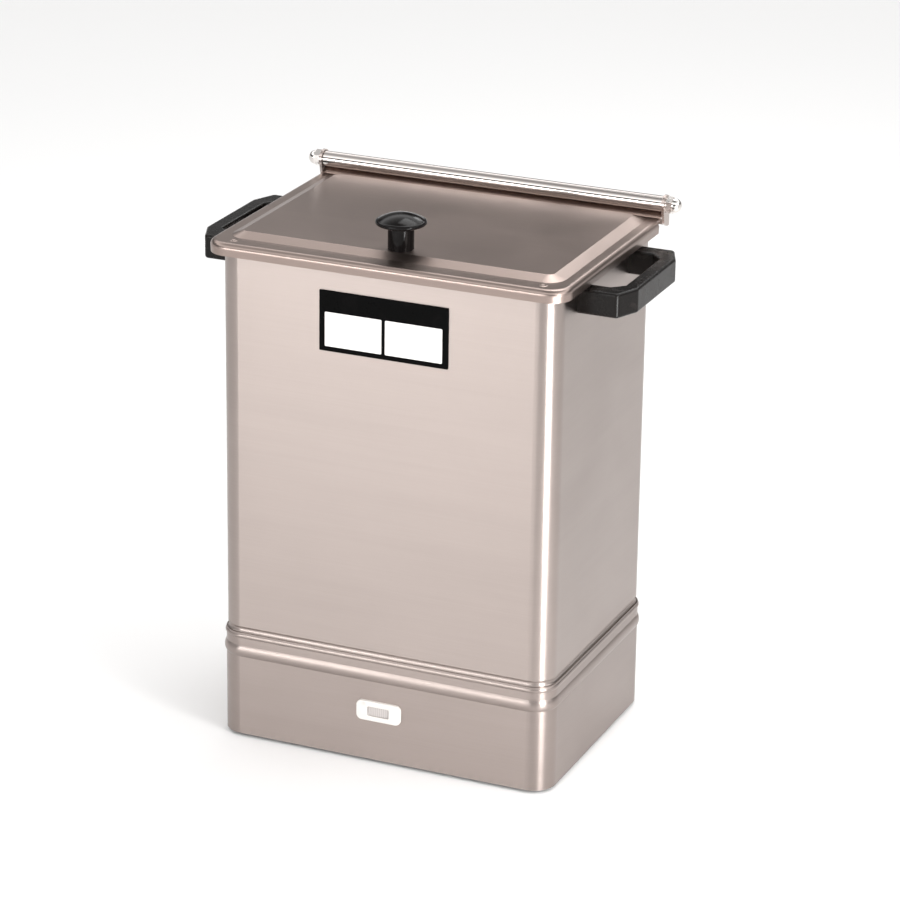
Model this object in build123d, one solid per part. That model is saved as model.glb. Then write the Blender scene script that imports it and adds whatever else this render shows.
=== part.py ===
from build123d import *
import os
from math import asin, atan2, cos, hypot, radians, sin, sqrt

# Hot pack heater: a deep stainless steel tank on a telescoped base skirt, closed by a
# hinged lid.  Moist heat packs stand in a wire rack over an immersed tubular element.
# Millimetres.  The origin is on the ground under the middle of the cabinet, +Z is up,
# +X is the right-hand side and -Y is the front.

# ---- sheet and fits -----------------------------------------------------------------
SHEET = 1.2                # stainless sheet of the tank, skirt, lid and base plate
SLIP_FIT = 0.15            # gap between two fixed pieces, one inside the other
MOVING_FIT = 0.3           # gap between two pieces that move past each other
HOLE_FIT = 0.1             # radial gap of a screw in its hole
CUT_PAST = 1.0             # how far a cut runs on past the face that it opens

# ---- tank ---------------------------------------------------------------------------
TANK_WIDTH = 277.0
TANK_DEPTH = 202.5
TANK_CORNER = 17.0         # outside radius of the upright corners
TANK_HEIGHT = 341.5        # underside of the floor to the top of the rim
TANK_FLOOR_Z = 66.0        # underside of the floor above the ground
DRAW_RADIUS = 12.0         # outside radius between the floor and the walls
RIM_BEND = 3.2
MOUTH_EASE = 0.9           # rounding along the rim's inner edge
LIP_HEIGHT = 7.0           # down-turned lip outside the rim
GROOVE_ABOVE_FLOOR = 26.0  # swaged groove over the skirt's top edge
GROOVE_RADIUS = 3.0
GROOVE_DEPTH = 1.0

# ---- base skirt ---------------------------------------------------------------------
SKIRT_BOTTOM_Z = 3.0       # what the feet lift the skirt off the ground
SKIRT_HEIGHT = 86.5
BROAD_BEAD_HEIGHT = 71.0   # middle of each bead above the skirt's lower edge
BROAD_BEAD_RADIUS = 8.5
BROAD_BEAD_PROUD = 1.5
NARROW_BEAD_HEIGHT = 83.8
NARROW_BEAD_RADIUS = 2.4
NARROW_BEAD_PROUD = 0.8

# ---- lid ----------------------------------------------------------------------------
LID_OVERHANG = 8.5         # lid skirt outside the tank wall
LID_SKIRT = 9.7
LID_SKIRT_DRAFT = 2.5      # degrees, the skirt tucks in towards its edge
LID_CORNER = 18.0          # the lid's upright corners
LID_BEND = 4.5
LID_SKIRT_REAR_Y = 88.0    # where the side skirts end, ahead of the hinge ears
PANEL_WIDTH = 254.0
PANEL_FRONT_BORDER = 27.2  # lid front edge to the raised panel
PANEL_REAR_Y = 87.0
PANEL_RAISE = 3.5
PANEL_CORNER = 5.0
PANEL_BEVEL = 9.0
PANEL_EASE = 1.2           # rounding along the panel's edge

# ---- hinge --------------------------------------------------------------------------
HINGE_PLATE = 2.1          # thickness of the two hinge brackets
CURL_DIAMETER = 12.7       # rolled rear edge of the lid
CURL_LENGTH = 289.0
HINGE_ABOVE_BORDER = 9.5
ROD_CLEARANCE = 0.1
ROD_END_DIAMETER = 8.0
EAR_RADIUS = 7.6
EAR_LEAN = 3.0             # how far the ear's front edge comes in on its way down
STRAP_LENGTH = 38.0
NUT_ACROSS_FLATS = 12.0
NUT_HEX_HEIGHT = 4.4
NUT_DOME_RADIUS = 5.7
NUT_DOME_REACH = 6.6
ROD_INTO_DOME = 2.2        # how far the rod's end stands into the nut's dome
WASHER_THICKNESS = 1.0

# ---- lid knob -----------------------------------------------------------------------
KNOB_Y = -71.0
KNOB_STEM_DIAMETER = 20.0
KNOB_CAP_DIAMETER = 39.0
KNOB_HEIGHT = 27.6
KNOB_RIM = 1.9             # radius of the cap's rounded edge
KNOB_RIM_HEIGHT = 20.7     # middle of the cap's edge above the panel
KNOB_NECK = 3.0            # fillet between the stem and the cap

# ---- side handles -------------------------------------------------------------------
HANDLE_MID_Y = 0.0
HANDLE_LENGTH = 121.0
HANDLE_REACH = 40.0
HANDLE_HEIGHT = 19.0
HANDLE_UNDER_LID = 2.3     # gap from the lid skirt down to the handle
HANDLE_BAR = 12.0          # thickness of the grip bar
HANDLE_LEG = 16.0          # thickness of each leg
HANDLE_FLAT = 80.0         # straight part of the grip bar
HANDLE_SHOULDER = 8.5      # how far the ends of the bar fall back
HANDLE_EDGE = 2.0
HANDLE_BORE_DEPTH = 16.0

# ---- screws, by shank radius and head -----------------------------------------------
HANDLE_SCREW = (2.4, 4.6, 2.8)
KNOB_SCREW = (2.4, 4.6, 2.8)
PLATE_SCREW = (1.7, 3.4, 2.2)
FOOT_SCREW = (1.9, 3.8, 2.4)
SCREW_PAST = 1.8           # how far a screw's end stands past its nut or tab
HEAD_ROUNDING = 0.45       # share of a head's height that is rounded
SEAL_RADIUS = 6.5
SEAL_THICKNESS = 1.0

# ---- front plate and pilot lamp -----------------------------------------------------
PLATE_WIDTH = 105.5
PLATE_HEIGHT = 48.0
PLATE_THICKNESS = 0.8
PLATE_UNDER_LID = 17.3     # gap from the lid skirt down to the plate
FIELD_WIDTH = 46.5
FIELD_HEIGHT = 27.0
FIELD_THICKNESS = 0.3
FIELD_GAP = 3.0
FIELD_DROP = 6.5           # fields' middle below the plate's middle
LAMP_X = -1.0
LAMP_HEIGHT = 41.8         # above the skirt's lower edge
BEZEL_WIDTH = 37.5
BEZEL_HEIGHT = 16.5
BEZEL_PROUD = 2.4
BEZEL_CORNER = 4.5
BEZEL_EASE = 0.9
NECK_BORDER = 2.6
NECK_LENGTH = 7.0
WINDOW_WIDTH = 18.5
WINDOW_HEIGHT = 8.0
WINDOW_CORNER = 1.5
LENS_THICKNESS = 2.0
LENS_SETBACK = 1.0
LENS_EASE = 0.5
LAMP_BODY_LENGTH = 20.0
LAMP_TAB = (4.8, 0.8, 7.0)

# ---- base plate, feet ---------------------------------------------------------------
PLATE_RECESS = 10.0        # skirt's lower edge up to the plate
VENT_LENGTH = 46.0
VENT_WIDTH = 4.0
VENT_PITCH = 10.0
VENT_ROWS = 6
VENT_X = -62.0
FOOT_X = 112.0
FOOT_Y = 74.0
FOOT_TOP_RADIUS = 11.5
FOOT_TREAD_RADIUS = 9.5
FOOT_BORE_DEPTH = 7.0
FOOT_NUT_FLATS = 7.6
FOOT_NUT_HEIGHT = 3.2
TAB_WIDTH = 22.0
TAB_DEPTH = 14.0
TAB_RISE = 13.0
TAB_SIDE_Y = 30.0

# ---- element ------------------------------------------------------------------------
ELEMENT_DIAMETER = 8.0
ELEMENT_ABOVE_FLOOR = 15.0
ELEMENT_BEND = 12.0
ELEMENT_INNER_Y = 20.0
ELEMENT_OUTER_Y = 60.0
ELEMENT_FRONT_X = 100.0
ELEMENT_BACK_X = -106.0
TERMINAL_X = -80.0
COLD_END_DROP = 13.0       # sheath end below the floor
GASKET_RADIUS = 9.0
GASKET_THICKNESS = 1.5
ELEMENT_NUT_FLATS = 16.0
ELEMENT_NUT_HEIGHT = 6.0
TERMINAL_PIN = (1.6, 9.0)

# ---- thermostat ---------------------------------------------------------------------
THERMOSTAT_X = 62.0
THERMOSTAT_Y = 30.0
THERMOSTAT_BODY = (38.0, 32.0, 22.0)
THERMOSTAT_EDGE = 2.0
BUSH_RADIUS = 4.8
BUSH_DROP = 4.2
BUSH_NUT_FLATS = 14.0
BUSH_NUT_HEIGHT = 2.4
SHAFT_RADIUS = 3.0
DIAL_RADIUS = 14.0
DIAL_THICKNESS = 5.0
DIAL_EASE = 0.6
DIAL_GROUND_GAP = 2.0
DIAL_FLUTES = 18
FLUTE_RADIUS = 1.1
CAPILLARY_DIAMETER = 2.4
CAPILLARY_BEND = 7.0
BULB_DIAMETER = 7.0
BULB_LENGTH = 84.0
BULB_EASE = 1.4
BULB_ABOVE_FLOOR = 6.0
GLAND_X = 40.0
GLAND_FLATS = 12.0
GLAND_HEAD = 5.0
GLAND_TAIL = 7.0
GLAND_RADIUS = 4.2
CLIP_WIDTH = 8.0
CLIP_SHEET = 0.8
CLIP_SPACING = 50.0

# ---- mains side ---------------------------------------------------------------------
INLET_X = -72.0
INLET_HEIGHT = 38.0        # above the skirt's lower edge
INLET_BORE_RADIUS = 4.0
INLET_NECK_RADIUS = 7.0
INLET_FLANGE_RADIUS = 10.0
INLET_FLANGE = 3.0
INLET_SNOUT = 3.6
INLET_TAPER = 12.0         # degrees, the snout narrows towards its end
INLET_NUT_FLATS = 19.0
INLET_NUT_HEIGHT = 4.5
BLOCK = (42.0, 17.0, 15.0)
BLOCK_X = -10.0
BLOCK_Y = 66.0
BLOCK_WAYS = 3
BLOCK_RIDGE = 4.0          # thickness of the ridge between two ways
BLOCK_RIDGE_HEIGHT = 4.5   # and its height above the ways' floor
BLOCK_SCREW_RADIUS = 2.0
BLOCK_SCREW_HEIGHT = 1.4
BLOCK_SCREW_SLOT = 0.8
EARTH_STUD = (2.0, 14.0)
EARTH_NUT_FLATS = 7.0
EARTH_NUT_HEIGHT = 3.2
EARTH_X = 20.0
LEAD_DIAMETER = 2.4
LEAD_BEND = 10.0

# ---- pack rack ----------------------------------------------------------------------
WIRE = 3.2
SLOT_PITCH = 44.0
SLOTS = 4
RACK_ABOVE_FLOOR = 30.0    # underside of the grid's long runners
GRID_HALF_X = 131.0
GRID_WIRES = 9
GRID_REACH_Y = 90.0
CROSS_WIRE_DROP = 2.6      # cross wires' centres below the runners'
FOOT_BEND = 7.0
LOOP_HALF_X = 120.0
LOOP_HEIGHT = 190.0
LOOP_BEND = 24.0
BAIL_HALF_Y = 38.0
BAIL_HEIGHT = 228.0
BAIL_BEND = 20.0

# ---- derived places -----------------------------------------------------------------
RIM_Z = TANK_FLOOR_Z + TANK_HEIGHT
FLOOR_TOP_Z = TANK_FLOOR_Z + SHEET
WALL_X = TANK_WIDTH / 2
WALL_Y = TANK_DEPTH / 2
RIM_REACH = LID_OVERHANG - HINGE_PLATE
LIP_BOTTOM_Z = RIM_Z - LIP_HEIGHT
SKIRT_THICKNESS = SLIP_FIT + SHEET
SKIRT_X = WALL_X + SKIRT_THICKNESS
SKIRT_Y = WALL_Y + SKIRT_THICKNESS
PLATE_BOTTOM_Z = SKIRT_BOTTOM_Z + PLATE_RECESS
PLATE_TOP_Z = PLATE_BOTTOM_Z + SHEET
LID_UNDERSIDE_Z = RIM_Z + MOVING_FIT
BORDER_Z = LID_UNDERSIDE_Z + SHEET
LID_EDGE_Z = BORDER_Z - LID_SKIRT
PANEL_Z = BORDER_Z + PANEL_RAISE
LID_X = WALL_X + LID_OVERHANG
LID_Y = WALL_Y + LID_OVERHANG
CURL_RADIUS = CURL_DIAMETER / 2
HINGE_Y = LID_Y - CURL_RADIUS
HINGE_Z = BORDER_Z + HINGE_ABOVE_BORDER
ROD_RADIUS = CURL_RADIUS - SHEET - ROD_CLEARANCE
EAR_INSIDE_X = WALL_X + RIM_REACH
EAR_OUTSIDE_X = EAR_INSIDE_X + HINGE_PLATE
ROD_THREAD_RADIUS = ROD_END_DIAMETER / 2
HANDLE_TOP_Z = LID_EDGE_Z - HANDLE_UNDER_LID
HANDLE_MID_Z = HANDLE_TOP_Z - HANDLE_HEIGHT / 2
HANDLE_BOLT_Y = (HANDLE_LENGTH - HANDLE_LEG) / 2
PLATE_MID_Z = LID_EDGE_Z - PLATE_UNDER_LID - PLATE_HEIGHT / 2
LAMP_Z = SKIRT_BOTTOM_Z + LAMP_HEIGHT
INLET_Z = SKIRT_BOTTOM_Z + INLET_HEIGHT
ELEMENT_Z = FLOOR_TOP_Z + ELEMENT_ABOVE_FLOOR
BULB_Z = FLOOR_TOP_Z + BULB_ABOVE_FLOOR
THERMOSTAT_TOP_Z = PLATE_TOP_Z + THERMOSTAT_BODY[2]
SHAFT_END_Z = DIAL_GROUND_GAP + DIAL_THICKNESS / 3
BULB_END_X = GLAND_X - 3 * CAPILLARY_BEND
WAY_FLOOR_Z = PLATE_TOP_Z + BLOCK[2] - BLOCK_RIDGE_HEIGHT
LEAD_Z = PLATE_TOP_Z + BLOCK[2] / 3
GRID_Z = FLOOR_TOP_Z + RACK_ABOVE_FLOOR
RACK_TOP_OF_GRID_Z = GRID_Z + WIRE
CROSS_WIRE_Z = GRID_Z + WIRE / 2 - CROSS_WIRE_DROP
CROSS_WIRE_PITCH = 2 * GRID_HALF_X / (GRID_WIRES - 1)
SIDES = (-1, 1)


# ---- shared forms -------------------------------------------------------------------
def slab(half_x, half_y, corner, bottom, top, mid_y=0.0):
    """An upright block with rounded corners."""
    outline = Pos(0, mid_y, bottom) * RectangleRounded(2 * half_x, 2 * half_y, corner)
    return extrude(outline, top - bottom)


def ring_path(half_x, half_y, corner, height):
    """The rounded rectangle that a bead follows round the cabinet."""
    return (Pos(0, 0, height) * RectangleRounded(2 * half_x, 2 * half_y, corner)).wire()


def ring_bead(half_x, half_y, corner, height, inset, radius):
    """A round bar led round a wall, with its centre line inset from the wall's face."""
    path = ring_path(half_x - inset, half_y - inset, corner - inset, height)
    start = Plane(origin=path @ 0, z_dir=path % 0)
    return sweep(start * Circle(radius), path=path)


def bar(radius, length, place, axis="Z"):
    """A round bar that starts at place and runs along the named axis."""
    turn = {"X": Rot(0, 90, 0), "Y": Rot(-90, 0, 0), "Z": Rot(0, 0, 0)}[axis]
    low_end = (Align.CENTER, Align.CENTER, Align.MIN)
    return Pos(*place) * turn * Cylinder(radius, length, align=low_end)


def hexagon_bar(flats, length, place, axis="Z"):
    """A hexagonal bar that starts at place and runs along the named axis."""
    turn = {"X": Rot(0, 90, 0), "Y": Rot(-90, 0, 0), "Z": Rot(0, 0, 0)}[axis]
    outline = RegularPolygon(flats / 2, 6, major_radius=False)
    return Pos(*place) * turn * extrude(outline, length)


def box(low, high):
    """A block between two opposite corners."""
    size = [far - near for near, far in zip(low, high)]
    return Pos(*low) * Box(*size, align=(Align.MIN, Align.MIN, Align.MIN))


def bent_wire(points, bend, diameter):
    """A round wire along straight runs joined by arcs."""
    path = FilletPolyline(*points, radius=bend)
    start = Plane(origin=path @ 0, z_dir=path % 0)
    return sweep(start * Circle(diameter / 2), path=path)


def pan_screw(screw, length, place, turn):
    """A pan-head screw whose head's bearing face is at place; the shank runs along +Z."""
    shank, head, height = screw
    low_end = (Align.CENTER, Align.CENTER, Align.MIN)
    high_end = (Align.CENTER, Align.CENTER, Align.MAX)
    top = Cylinder(head, height, align=high_end)
    top = fillet(top.edges().sort_by(Axis.Z)[0], height * HEAD_ROUNDING)
    return Pos(*place) * turn * (top + Cylinder(shank, length, align=low_end))


def both_sides(shape):
    """A shape and its mirror image on the other side of the cabinet."""
    return [shape, mirror(shape, about=Plane.YZ)]


# ---- tank and base ------------------------------------------------------------------
def tank():
    """Deep-drawn tank with an out-turned rim, a down-turned lip and a swaged groove."""
    outside = slab(WALL_X, WALL_Y, TANK_CORNER, TANK_FLOOR_Z, RIM_Z)
    outside = fillet(outside.faces().sort_by(Axis.Z)[0].edges(), DRAW_RADIUS)
    inside = slab(WALL_X - SHEET, WALL_Y - SHEET, TANK_CORNER - SHEET, FLOOR_TOP_Z, RIM_Z + SHEET)
    inside = fillet(inside.faces().sort_by(Axis.Z)[0].edges(), DRAW_RADIUS - SHEET)
    rim = slab(WALL_X + RIM_REACH, WALL_Y + RIM_REACH, TANK_CORNER + RIM_REACH, LIP_BOTTOM_Z, RIM_Z)
    rim = fillet(rim.faces().sort_by(Axis.Z)[-1].edges(), RIM_BEND)
    lip_inside = RIM_REACH - SHEET
    under_rim = slab(WALL_X + lip_inside, WALL_Y + lip_inside, TANK_CORNER + lip_inside,
                     LIP_BOTTOM_Z - SHEET, RIM_Z - SHEET)
    groove_z = TANK_FLOOR_Z + GROOVE_ABOVE_FLOOR
    inset = GROOVE_DEPTH - GROOVE_RADIUS
    groove = ring_bead(WALL_X, WALL_Y, TANK_CORNER, groove_z, inset, GROOVE_RADIUS)
    bulge = ring_bead(WALL_X, WALL_Y, TANK_CORNER, groove_z, inset, GROOVE_RADIUS + SHEET)
    body = outside + (rim - under_rim) - groove - (inside - bulge)
    mouth = body.edges().filter_by(lambda edge: abs(edge.center().Z - RIM_Z) < SHEET / 4)
    inner = [edge for edge in mouth if abs(edge.center().X) < WALL_X and abs(edge.center().Y) < WALL_Y]
    body = fillet(inner, MOUTH_EASE)
    for x in SIDES:
        for y in SIDES:
            hole_y = HANDLE_MID_Y + y * HANDLE_BOLT_Y
            start = (x * WALL_X - DRAW_RADIUS, hole_y, HANDLE_MID_Z)
            body -= bar(HANDLE_SCREW[0] + HOLE_FIT, 2 * DRAW_RADIUS, start, "X")
    for y in SIDES:
        hole = (TERMINAL_X, y * ELEMENT_INNER_Y, TANK_FLOOR_Z - SHEET)
        body -= bar(ELEMENT_DIAMETER / 2 + SLIP_FIT, 3 * SHEET, hole)
    body -= bar(GLAND_RADIUS + SLIP_FIT, 3 * SHEET, (GLAND_X, 0, TANK_FLOOR_Z - SHEET))
    return body


def base_skirt():
    """Beaded band over the tank's lower end; its tabs carry the base plate."""
    top = SKIRT_BOTTOM_Z + SKIRT_HEIGHT
    corner = TANK_CORNER + SKIRT_THICKNESS
    body = slab(SKIRT_X, SKIRT_Y, corner, SKIRT_BOTTOM_Z, top)
    for height, radius, proud in (
        (BROAD_BEAD_HEIGHT, BROAD_BEAD_RADIUS, BROAD_BEAD_PROUD),
        (NARROW_BEAD_HEIGHT, NARROW_BEAD_RADIUS, NARROW_BEAD_PROUD),
    ):
        inset = radius - proud
        body += ring_bead(SKIRT_X, SKIRT_Y, corner, SKIRT_BOTTOM_Z + height, inset, radius)
    body -= slab(WALL_X + SLIP_FIT, WALL_Y + SLIP_FIT, TANK_CORNER + SLIP_FIT,
                 SKIRT_BOTTOM_Z - SHEET, top + SHEET)
    neck_x = BEZEL_WIDTH / 2 - NECK_BORDER + SLIP_FIT
    neck_z = BEZEL_HEIGHT / 2 - NECK_BORDER + SLIP_FIT
    body -= box((LAMP_X - neck_x, -SKIRT_Y - SHEET, LAMP_Z - neck_z),
                (LAMP_X + neck_x, -WALL_Y + SHEET, LAMP_Z + neck_z))
    inlet = (INLET_X, WALL_Y - SHEET, INLET_Z)
    body -= bar(INLET_NECK_RADIUS + SLIP_FIT, 4 * SHEET, inlet, "Y")
    return body


def tab_places():
    """Where each base plate tab stands: the skirt's inner face, and its turn."""
    inner_x = WALL_X + SLIP_FIT
    inner_y = WALL_Y + SLIP_FIT
    places = []
    for x in SIDES:
        for y in SIDES:
            places.append((x * inner_x, y * TAB_SIDE_Y, 0 if x > 0 else 180))
    for y in SIDES:
        places.append((0, y * inner_y, y * 90))
    return places


def base_plate_tabs():
    """Angle tabs welded inside the skirt, which the base plate is screwed up to."""
    tabs = []
    for x, y, turn in tab_places():
        foot = box((-TAB_DEPTH, -TAB_WIDTH / 2, 0), (0, TAB_WIDTH / 2, SHEET))
        rise = box((-SHEET, -TAB_WIDTH / 2, 0), (0, TAB_WIDTH / 2, TAB_RISE))
        hole = bar(PLATE_SCREW[0] + HOLE_FIT, 3 * SHEET, (-TAB_DEPTH / 2 - SHEET / 2, 0, -SHEET))
        tabs.append(Pos(x, y, PLATE_TOP_Z) * Rot(0, 0, turn) * (foot + rise - hole))
    return tabs


def tab_screw_places():
    """The middle of the screw hole in each tab's foot."""
    inward = TAB_DEPTH / 2 + SHEET / 2
    places = []
    for x, y, turn in tab_places():
        step_x = inward * cos(radians(turn))
        step_y = inward * sin(radians(turn))
        places.append((x - step_x, y - step_y))
    return places


def foot_places():
    """The four corners that a foot stands at."""
    return [(x * FOOT_X, y * FOOT_Y) for x in SIDES for y in SIDES]


def base_plate():
    """Flat plate that closes the base, with vent slots and the screw holes."""
    gap = SLIP_FIT + MOVING_FIT
    inner = TANK_CORNER + SLIP_FIT - gap
    body = slab(WALL_X + SLIP_FIT - gap, WALL_Y + SLIP_FIT - gap, inner, PLATE_BOTTOM_Z, PLATE_TOP_Z)
    for row in range(VENT_ROWS):
        y = (row - (VENT_ROWS - 1) / 2) * VENT_PITCH
        slot = Pos(VENT_X, y, PLATE_BOTTOM_Z - SHEET) * SlotOverall(VENT_LENGTH, VENT_WIDTH)
        body -= extrude(slot, 3 * SHEET)
    for x, y in tab_screw_places():
        body -= bar(PLATE_SCREW[0] + HOLE_FIT, 3 * SHEET, (x, y, PLATE_BOTTOM_Z - SHEET))
    for x, y in foot_places():
        body -= bar(FOOT_SCREW[0] + HOLE_FIT, 3 * SHEET, (x, y, PLATE_BOTTOM_Z - SHEET))
    shaft = (THERMOSTAT_X, THERMOSTAT_Y, PLATE_BOTTOM_Z - SHEET)
    body -= bar(BUSH_RADIUS + HOLE_FIT, 3 * SHEET, shaft)
    return body


def base_plate_screws():
    """Screws up through the base plate into the tabs."""
    length = 2 * SHEET + SCREW_PAST
    upright = Rot(0, 0, 0)
    return [pan_screw(PLATE_SCREW, length, (x, y, PLATE_BOTTOM_Z), upright)
            for x, y in tab_screw_places()]


def rubber_feet():
    """Tapered rubber feet with a counterbore for their screw."""
    feet = []
    for x, y in foot_places():
        tread = Pos(x, y, 0) * Circle(FOOT_TREAD_RADIUS)
        seat = Pos(x, y, PLATE_BOTTOM_Z) * Circle(FOOT_TOP_RADIUS)
        foot = loft([tread, seat])
        foot -= bar(FOOT_SCREW[1] + 2 * HOLE_FIT, FOOT_BORE_DEPTH, (x, y, 0))
        foot -= bar(FOOT_SCREW[0] + HOLE_FIT, PLATE_BOTTOM_Z, (x, y, 0))
        feet.append(foot)
    return feet


def foot_screws():
    """Screws that hold the feet to the base plate."""
    length = PLATE_TOP_Z - FOOT_BORE_DEPTH + FOOT_NUT_HEIGHT + SCREW_PAST
    upright = Rot(0, 0, 0)
    return [pan_screw(FOOT_SCREW, length, (x, y, FOOT_BORE_DEPTH), upright)
            for x, y in foot_places()]


def foot_nuts():
    """Hexagon nuts on the feet's screws, inside the base."""
    nuts = []
    for x, y in foot_places():
        nut = hexagon_bar(FOOT_NUT_FLATS, FOOT_NUT_HEIGHT, (x, y, PLATE_TOP_Z))
        nuts.append(nut - bar(FOOT_SCREW[0] + HOLE_FIT / 2, FOOT_NUT_HEIGHT, (x, y, PLATE_TOP_Z)))
    return nuts


# ---- lid and hinge ------------------------------------------------------------------
def raised_panel(drop):
    """The raised middle of the lid, lowered by drop for its hollow underside."""
    front = -LID_Y + PANEL_FRONT_BORDER
    half_y = (PANEL_REAR_Y - front) / 2
    middle = (PANEL_REAR_Y + front) / 2
    half_x = PANEL_WIDTH / 2
    foot = Pos(0, middle, BORDER_Z - drop) * RectangleRounded(
        2 * (half_x + PANEL_BEVEL), 2 * (half_y + PANEL_BEVEL), PANEL_CORNER + PANEL_BEVEL)
    crown = Pos(0, middle, PANEL_Z - drop) * RectangleRounded(2 * half_x, 2 * half_y, PANEL_CORNER)
    body = loft([foot, crown], ruled=True)
    return fillet(body.faces().sort_by(Axis.Z)[-1].edges(), PANEL_EASE)


def lid_shell():
    """The lid's border and skirt before the panel and the hinge curl are formed."""
    top = Pos(0, 0, BORDER_Z) * RectangleRounded(2 * LID_X, 2 * LID_Y, LID_CORNER)
    outside = extrude(top, -LID_SKIRT, taper=LID_SKIRT_DRAFT)
    outside = fillet(outside.faces().sort_by(Axis.Z)[-1].edges(), LID_BEND)
    under = Pos(0, 0, LID_UNDERSIDE_Z) * RectangleRounded(
        2 * (LID_X - SHEET), 2 * (LID_Y - SHEET), LID_CORNER - SHEET)
    inside = extrude(under, -LID_SKIRT, taper=LID_SKIRT_DRAFT)
    inside = fillet(inside.faces().sort_by(Axis.Z)[-1].edges(), LID_BEND - SHEET)
    return outside - inside


def curl_web():
    """Strip of sheet from the lid's border up round the underside of the curl."""
    rear_y = PANEL_REAR_Y + PANEL_BEVEL
    reach = HINGE_Y - rear_y
    rise = HINGE_Z - LID_UNDERSIDE_Z
    distance = hypot(reach, rise)
    slope = atan2(rise, reach) - asin(CURL_RADIUS / distance)
    run = sqrt(distance ** 2 - CURL_RADIUS ** 2)
    along = (run * cos(slope), run * sin(slope))
    across = (-SHEET * sin(slope), SHEET * cos(slope))
    start = (rear_y, LID_UNDERSIDE_Z)
    end = (start[0] + along[0], start[1] + along[1])
    corners = [
        (start[0] - SHEET, start[1]),
        start,
        end,
        (end[0] + across[0], end[1] + across[1]),
        (start[0] + across[0], BORDER_Z),
        (start[0] - SHEET, BORDER_Z),
    ]
    section = Plane.YZ * make_face(Polyline(*corners, close=True))
    return extrude(section, CURL_LENGTH / 2, both=True)


def lid_pan():
    """Pressed lid: raised panel, border, skirt on three sides and a rolled rear edge."""
    shell = lid_shell() + raised_panel(0) - raised_panel(SHEET)
    rear_y = PANEL_REAR_Y + PANEL_BEVEL
    behind = 4 * LID_OVERHANG
    past_x = LID_X + CUT_PAST
    past_z = LID_EDGE_Z - CUT_PAST
    shell -= box((-past_x, rear_y, past_z), (past_x, rear_y + behind, PANEL_Z))
    for x in SIDES:
        inner, outer = sorted((x * CURL_LENGTH / 2, x * past_x))
        shell -= box((inner, LID_SKIRT_REAR_Y, past_z), (outer, rear_y, PANEL_Z))
    curl = bar(CURL_RADIUS, CURL_LENGTH, (-CURL_LENGTH / 2, HINGE_Y, HINGE_Z), "X")
    bore = bar(CURL_RADIUS - SHEET, CURL_LENGTH, (-CURL_LENGTH / 2, HINGE_Y, HINGE_Z), "X")
    body = shell + curl_web() + curl - bore
    body -= bar(KNOB_SCREW[0] + HOLE_FIT, PANEL_RAISE, (0, KNOB_Y, PANEL_Z - PANEL_RAISE))
    return body


def hinge_bracket(side):
    """Ear for the rod, on a strap welded to the rear of the rim's lip."""
    strap_y = WALL_Y + RIM_REACH
    strap_top = RIM_Z - RIM_BEND
    outline_y = HINGE_Y - EAR_RADIUS
    ear_face = Plane.YZ * (
        Pos(HINGE_Y, HINGE_Z) * Circle(EAR_RADIUS)
        + make_face(Polyline(
            (outline_y, HINGE_Z),
            (outline_y + EAR_LEAN, strap_top),
            (strap_y - HINGE_PLATE, LIP_BOTTOM_Z),
            (LID_Y, LIP_BOTTOM_Z),
            (LID_Y, strap_top),
            (HINGE_Y + EAR_RADIUS, HINGE_Z),
            close=True,
        ))
    )
    ear = extrude(Pos(EAR_INSIDE_X, 0, 0) * ear_face, HINGE_PLATE)
    ear -= box((0, LID_Y, 0), (2 * LID_X, 2 * LID_Y, 2 * HINGE_Z))
    strap = box((EAR_OUTSIDE_X - STRAP_LENGTH, strap_y, LIP_BOTTOM_Z), (EAR_OUTSIDE_X, LID_Y, strap_top))
    hole = (EAR_INSIDE_X, HINGE_Y, HINGE_Z)
    bracket = ear + strap - bar(ROD_THREAD_RADIUS + HOLE_FIT, HINGE_PLATE, hole, "X")
    return bracket if side > 0 else mirror(bracket, about=Plane.YZ)


def hinge_rod():
    """Rod through the curl, shouldered between the ears and threaded at its ends."""
    half = EAR_INSIDE_X - HOLE_FIT
    end = EAR_OUTSIDE_X + WASHER_THICKNESS + NUT_HEX_HEIGHT + ROD_INTO_DOME
    middle = bar(ROD_RADIUS, 2 * half, (-half, HINGE_Y, HINGE_Z), "X")
    return middle + bar(ROD_THREAD_RADIUS, 2 * end, (-end, HINGE_Y, HINGE_Z), "X")


def hinge_washers():
    """Plain washers between the ears and the cap nuts."""
    place = (EAR_OUTSIDE_X, HINGE_Y, HINGE_Z)
    disc = bar(NUT_ACROSS_FLATS / 2, WASHER_THICKNESS, place, "X")
    return both_sides(disc - bar(ROD_THREAD_RADIUS + HOLE_FIT, WASHER_THICKNESS, place, "X"))


def hinge_cap_nuts():
    """Domed nuts on both ends of the rod."""
    start_x = EAR_OUTSIDE_X + WASHER_THICKNESS
    nut = hexagon_bar(NUT_ACROSS_FLATS, NUT_HEX_HEIGHT, (start_x, HINGE_Y, HINGE_Z), "X")
    collar = NUT_DOME_REACH - NUT_DOME_RADIUS + NUT_HEX_HEIGHT
    nut += bar(NUT_DOME_RADIUS, collar, (start_x, HINGE_Y, HINGE_Z), "X")
    nut += Pos(start_x + collar, HINGE_Y, HINGE_Z) * Sphere(NUT_DOME_RADIUS)
    depth = NUT_HEX_HEIGHT + ROD_INTO_DOME + HOLE_FIT
    nut -= bar(2 * NUT_DOME_RADIUS, start_x, (0, HINGE_Y, HINGE_Z), "X")
    nut -= bar(ROD_THREAD_RADIUS + HOLE_FIT / 2, depth, (start_x, HINGE_Y, HINGE_Z), "X")
    return both_sides(nut)


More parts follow.
